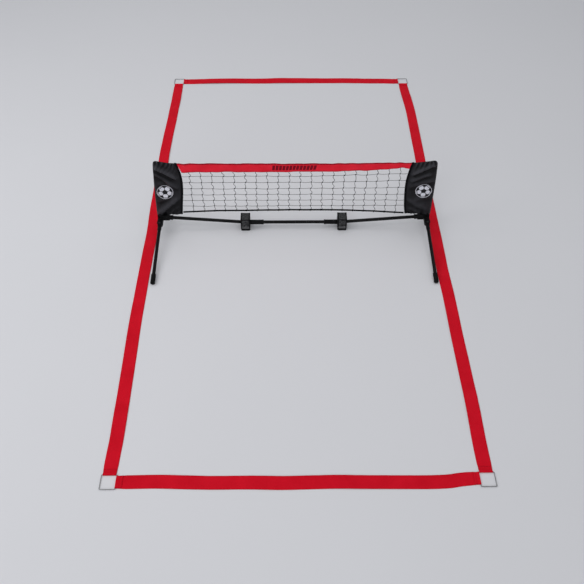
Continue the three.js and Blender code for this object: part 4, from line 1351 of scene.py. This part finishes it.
def band():
    """Cloth folded over along the top: down the front face, round the bottom hem, and up the back."""
    count = 330
    xs = np.linspace(-1, 1, count)
    shares = np.array([0, 0.02, 0.06, 0.1, 0.13, 0.2, 0.35, 0.5, 0.65, 0.8, 0.87, 0.9, 0.94, 0.98, 1])
    half = MM * np.array([0.45, 0.95, 1.15, 1.1, 0.85, 0.75, 0.75, 0.75, 0.75, 0.85, 1.15, 1.3, 1.3, 1.0,
                          0.4])
    layers = [(share, -thick) for share, thick in zip(shares, half)]
    layers += [(share, -away) for share, away in reversed(layers)]
    columns = [band_face(xs, np.full(count, share), away) for share, away in layers]
    shape = loft(np.array(columns).transpose(1, 0, 2))
    cloth = piece("cloth_net_band", shape, "net", RED_CLOTH, ["net_band"])
    cloth.data.materials.append(RED_HEM)
    rows = len(shares) * 2
    hems = {k for k in range(rows) if not 0.1 <= shares[min(k, rows - 1 - k)] < 0.9}
    quads = (count - 1) * rows
    index = [1 if k < quads and k % rows in hems and (k + 1) % rows in hems else 0
             for k in range(len(cloth.data.polygons))]
    cloth.data.polygons.foreach_set("material_index", index)
    rows_of_thread = []
    line = np.linspace(-0.99, 0.99, 400)
    for sign in (-1, 1):
        for share in (0.135, 0.865):
            path = band_face(line, np.full(len(line), share), sign * THREAD_OFF_BAND)
            rows_of_thread.append(stitches(path, [(0, sign, 0)] * len(path), THREAD, 0.003, 0.001))
    thread = piece("stitching_net_band", merged(rows_of_thread), "net", RED_THREAD)
    ink = piece("print_net_band", band_print(), "net", RED_PRINT)


def band_print():
    """A row of plain slanting bars along the middle of the band."""
    shapes = []
    width, gap, lean, count = 0.0105, 0.0035, 0.004, 13
    a, b = np.meshgrid(np.linspace(0, 1, 9), np.linspace(0, 1, 7), indexing="ij")
    for k in range(count):
        left = (k - count / 2) * (width + gap) + gap / 2
        x = (left + b * width + (a - 0.5) * lean).ravel() / 0.47
        z = (0.24 + 0.52 * a).ravel()
        points = band_face(x, z, -INK_OFF_BAND).reshape(*a.shape, 3)
        shapes.append(loft(points, closed=False, caps=False))
    return merged(shapes)


def vertical_x(k):
    return VERTICAL_SHIFT + (k - (VERTICALS - 1) / 2) * VERTICAL_PITCH


def cord_z(x):
    """Height of the bottom cord, which rises towards the middle of the net."""
    return through(CORD_HEIGHT, x) + 0.0005 * waves_along(x, 0.1, 6)


def row_height(row, x):
    height, lift = ROWS[row]
    return height + lift * smooth_step((x - 0.08) / 0.38)


def knot_places():
    """Where the twines cross, as rows from the cord up to the band and columns from seam to seam."""
    generator = np.random.default_rng(4)
    places = np.zeros((len(ROWS) + 2, VERTICALS, 3))
    for column in range(VERTICALS):
        for row in range(len(ROWS) + 2):
            x = vertical_x(column) + generator.normal(0, TWINE_STRAY)
            if row == 0:
                height = cord_z(x) + 0.0012
            elif row <= len(ROWS):
                height = row_height(row - 1, x) + generator.normal(0, TWINE_STRAY)
            else:
                height = band_bottom(x) + 0.002
            places[row, column] = (x, NET_Y + generator.normal(0, 0.0005), height)
    return places


def sagging(a, b, drop, steps=5):
    """Points from a to b, hanging by drop in the middle."""
    t = np.linspace(0, 1, steps)[:, None]
    path = a + (b - a) * t
    path[:, 2] -= drop * 4 * t[:, 0] * (1 - t[:, 0])
    return path


def knot(centre, generator):
    """A twine knot: two small loops crossing on a tight middle."""
    shapes = []
    for turn in (0.6, -0.6):
        angles = np.linspace(0, 2 * np.pi, 10, endpoint=False)
        loop = MM * np.stack([1.5 * np.cos(angles), 0.6 * np.sin(2 * angles), 1.8 * np.sin(angles)], axis=1)
        spin = np.array(Matrix.Rotation(turn + generator.normal(0, 0.2), 3, "Y"))
        shapes.append(swept(loop @ spin.T + centre, KNOT_RADIUS, sides=7, up=(0, 1, 0), ring=True))
    return merged(shapes)


def net_mesh():
    """Twine from the cord up to the band and from seam to seam, with a knot where they cross."""
    generator = np.random.default_rng(8)
    places = knot_places()
    shapes = []
    for column in range(VERTICALS):
        points = []
        for row in range(len(ROWS) + 1):
            t = np.linspace(0, 1, 11)
            step = sagging(places[row, column], places[row + 1, column], 0, 11)
            sway, bulge = 0.0024 + generator.normal(0, 0.0008), 0.0012 + generator.normal(0, 0.0010)
            step[:, 0] += sway * np.sin(2 * math.pi * t) + bulge * np.sin(math.pi * t)
            points.extend(step[:-1])
        points.append(places[-1, column])
        shapes.append(swept(points, UPRIGHT_RADIUS, sides=8, up=(0, 1, 0)))
    for row in range(len(ROWS)):
        ends = []
        for side, sign in (("left", -1), ("right", 1)):
            z = row_height(row, sign * 0.46) + generator.normal(0, 0.0006)
            ends.append(np.array([sign * (seam_x(side, z) - 0.0005), NET_Y, z]))
        knots = [ends[0], *places[row + 1], ends[1]]
        points = []
        for a, b in zip(knots, knots[1:]):
            points.extend(sagging(a, b, 0.0010 + generator.normal(0, 0.0005), 6)[:-1])
        points.append(ends[1])
        shapes.append(swept(points, ROW_RADIUS, sides=8, up=(0, 1, 0)))
        for column in range(VERTICALS):
            shapes.append(knot(places[row + 1, column], generator))
    piece("twine_net_mesh", merged(shapes), "net", BLACK_TWINE, ["net_mesh"])


def net_cord():
    """A three-strand cord along the bottom, with the verticals' loops round it."""
    xs = np.linspace(-CORD_END_X, CORD_END_X, 430)
    sway = 0.0006 * waves_along(xs, 0.07, 13)
    path = np.stack([xs, NET_Y + sway, cord_z(xs)], axis=1)
    rope = swept(path, CORD_RADIUS, sides=18, lobes=3, lobe_depth=0.22, twist=2 * math.pi / 0.016)
    piece("rope_net_cord", rope, "net", BLACK_CORD, ["net_cord"])
    loops = []
    angles = np.linspace(0, 2 * np.pi, 16, endpoint=False)
    for column in range(VERTICALS):
        x = vertical_x(column)
        for offset in (-0.0009, 0.0009):
            ring = np.stack([x + offset + 0.0006 * np.sin(angles), NET_Y + LOOP_REACH * np.cos(angles),
                             cord_z(x) + LOOP_REACH * np.sin(angles)], axis=1)
            loops.append(swept(ring, ROW_RADIUS, sides=7, up=(1, 0, 0), ring=True))
    piece("loops_net_cord", merged(loops), "net", BLACK_TWINE)


def make_net():
    for side in ("left", "right"):
        sleeve(side)
    band()
    net_mesh()
    net_cord()


# --- Studio -----------------------------------------------------------------------------

CAMERA_LENS = 43.82
CAMERA_PLACE = (-0.0422, -2.2898, 2.1007)
# Pitch below level, yaw to the right of +Y, and roll, in degrees.
CAMERA_TURN = (47.56, 0.910, 0.389)
FLOOR_HALF = 16


def make_camera():
    data = bpy.data.cameras.new("camera")
    data.sensor_width = 36
    data.lens = CAMERA_LENS
    data.clip_end = 60
    camera = linked("camera", data)
    pitch, yaw, roll = (math.radians(a) for a in CAMERA_TURN)
    forward = Vector((math.sin(yaw) * math.cos(pitch), math.cos(yaw) * math.cos(pitch), -math.sin(pitch)))
    level = Vector((math.cos(yaw), -math.sin(yaw), 0))
    upward = level.cross(forward)
    right = level * math.cos(roll) + upward * math.sin(roll)
    up = upward * math.cos(roll) - level * math.sin(roll)
    matrix = Matrix((right, up, -forward)).transposed().to_4x4()
    matrix.translation = CAMERA_PLACE
    camera.matrix_world = matrix
    bpy.context.scene.camera = camera


def area_light(name, size, power, place, target, colour):
    data = bpy.data.lights.new(name, "AREA")
    data.shape = "RECTANGLE"
    data.size, data.size_y = size
    data.energy = power
    data.color = colour
    light = linked(name, data)
    light.location = place
    light.rotation_euler = (Vector(target) - Vector(place)).to_track_quat("-Z", "Y").to_euler()


def make_studio():
    corners = [(x * FLOOR_HALF, y * FLOOR_HALF, 0) for x, y in ((-1, -1), (1, -1), (1, 1), (-1, 1))]
    floor = bare_object("floor", (corners, [(0, 1, 2, 3)]))
    floor.data.materials.append(floor_material())
    floor.location.z = -0.0002
    area_light("key", (2.2, 2.2), 36, (-3.0, -0.4, 3.0), (0, -0.2, 0), (1.0, 0.995, 0.99))
    area_light("overhead", (5, 5), 60, (0, 0.5, 4.5), (0, 0.5, 0), (1.0, 1.0, 1.0))
    area_light("front", (4, 4), 74, (-1.5, -5.5, 3.4), (0, 0, 0), (1.0, 1.0, 1.0))
    world = bpy.data.worlds.new("studio")
    world.use_nodes = True
    background = world.node_tree.nodes["Background"]
    background.inputs["Color"].default_value = (0.96, 0.98, 1.0, 1)
    background.inputs["Strength"].default_value = 0.40
    bpy.context.scene.world = world
    bpy.context.scene.view_settings.view_transform = "Standard"


make_camera()
make_court()
make_net_frame()
make_net()
make_studio()
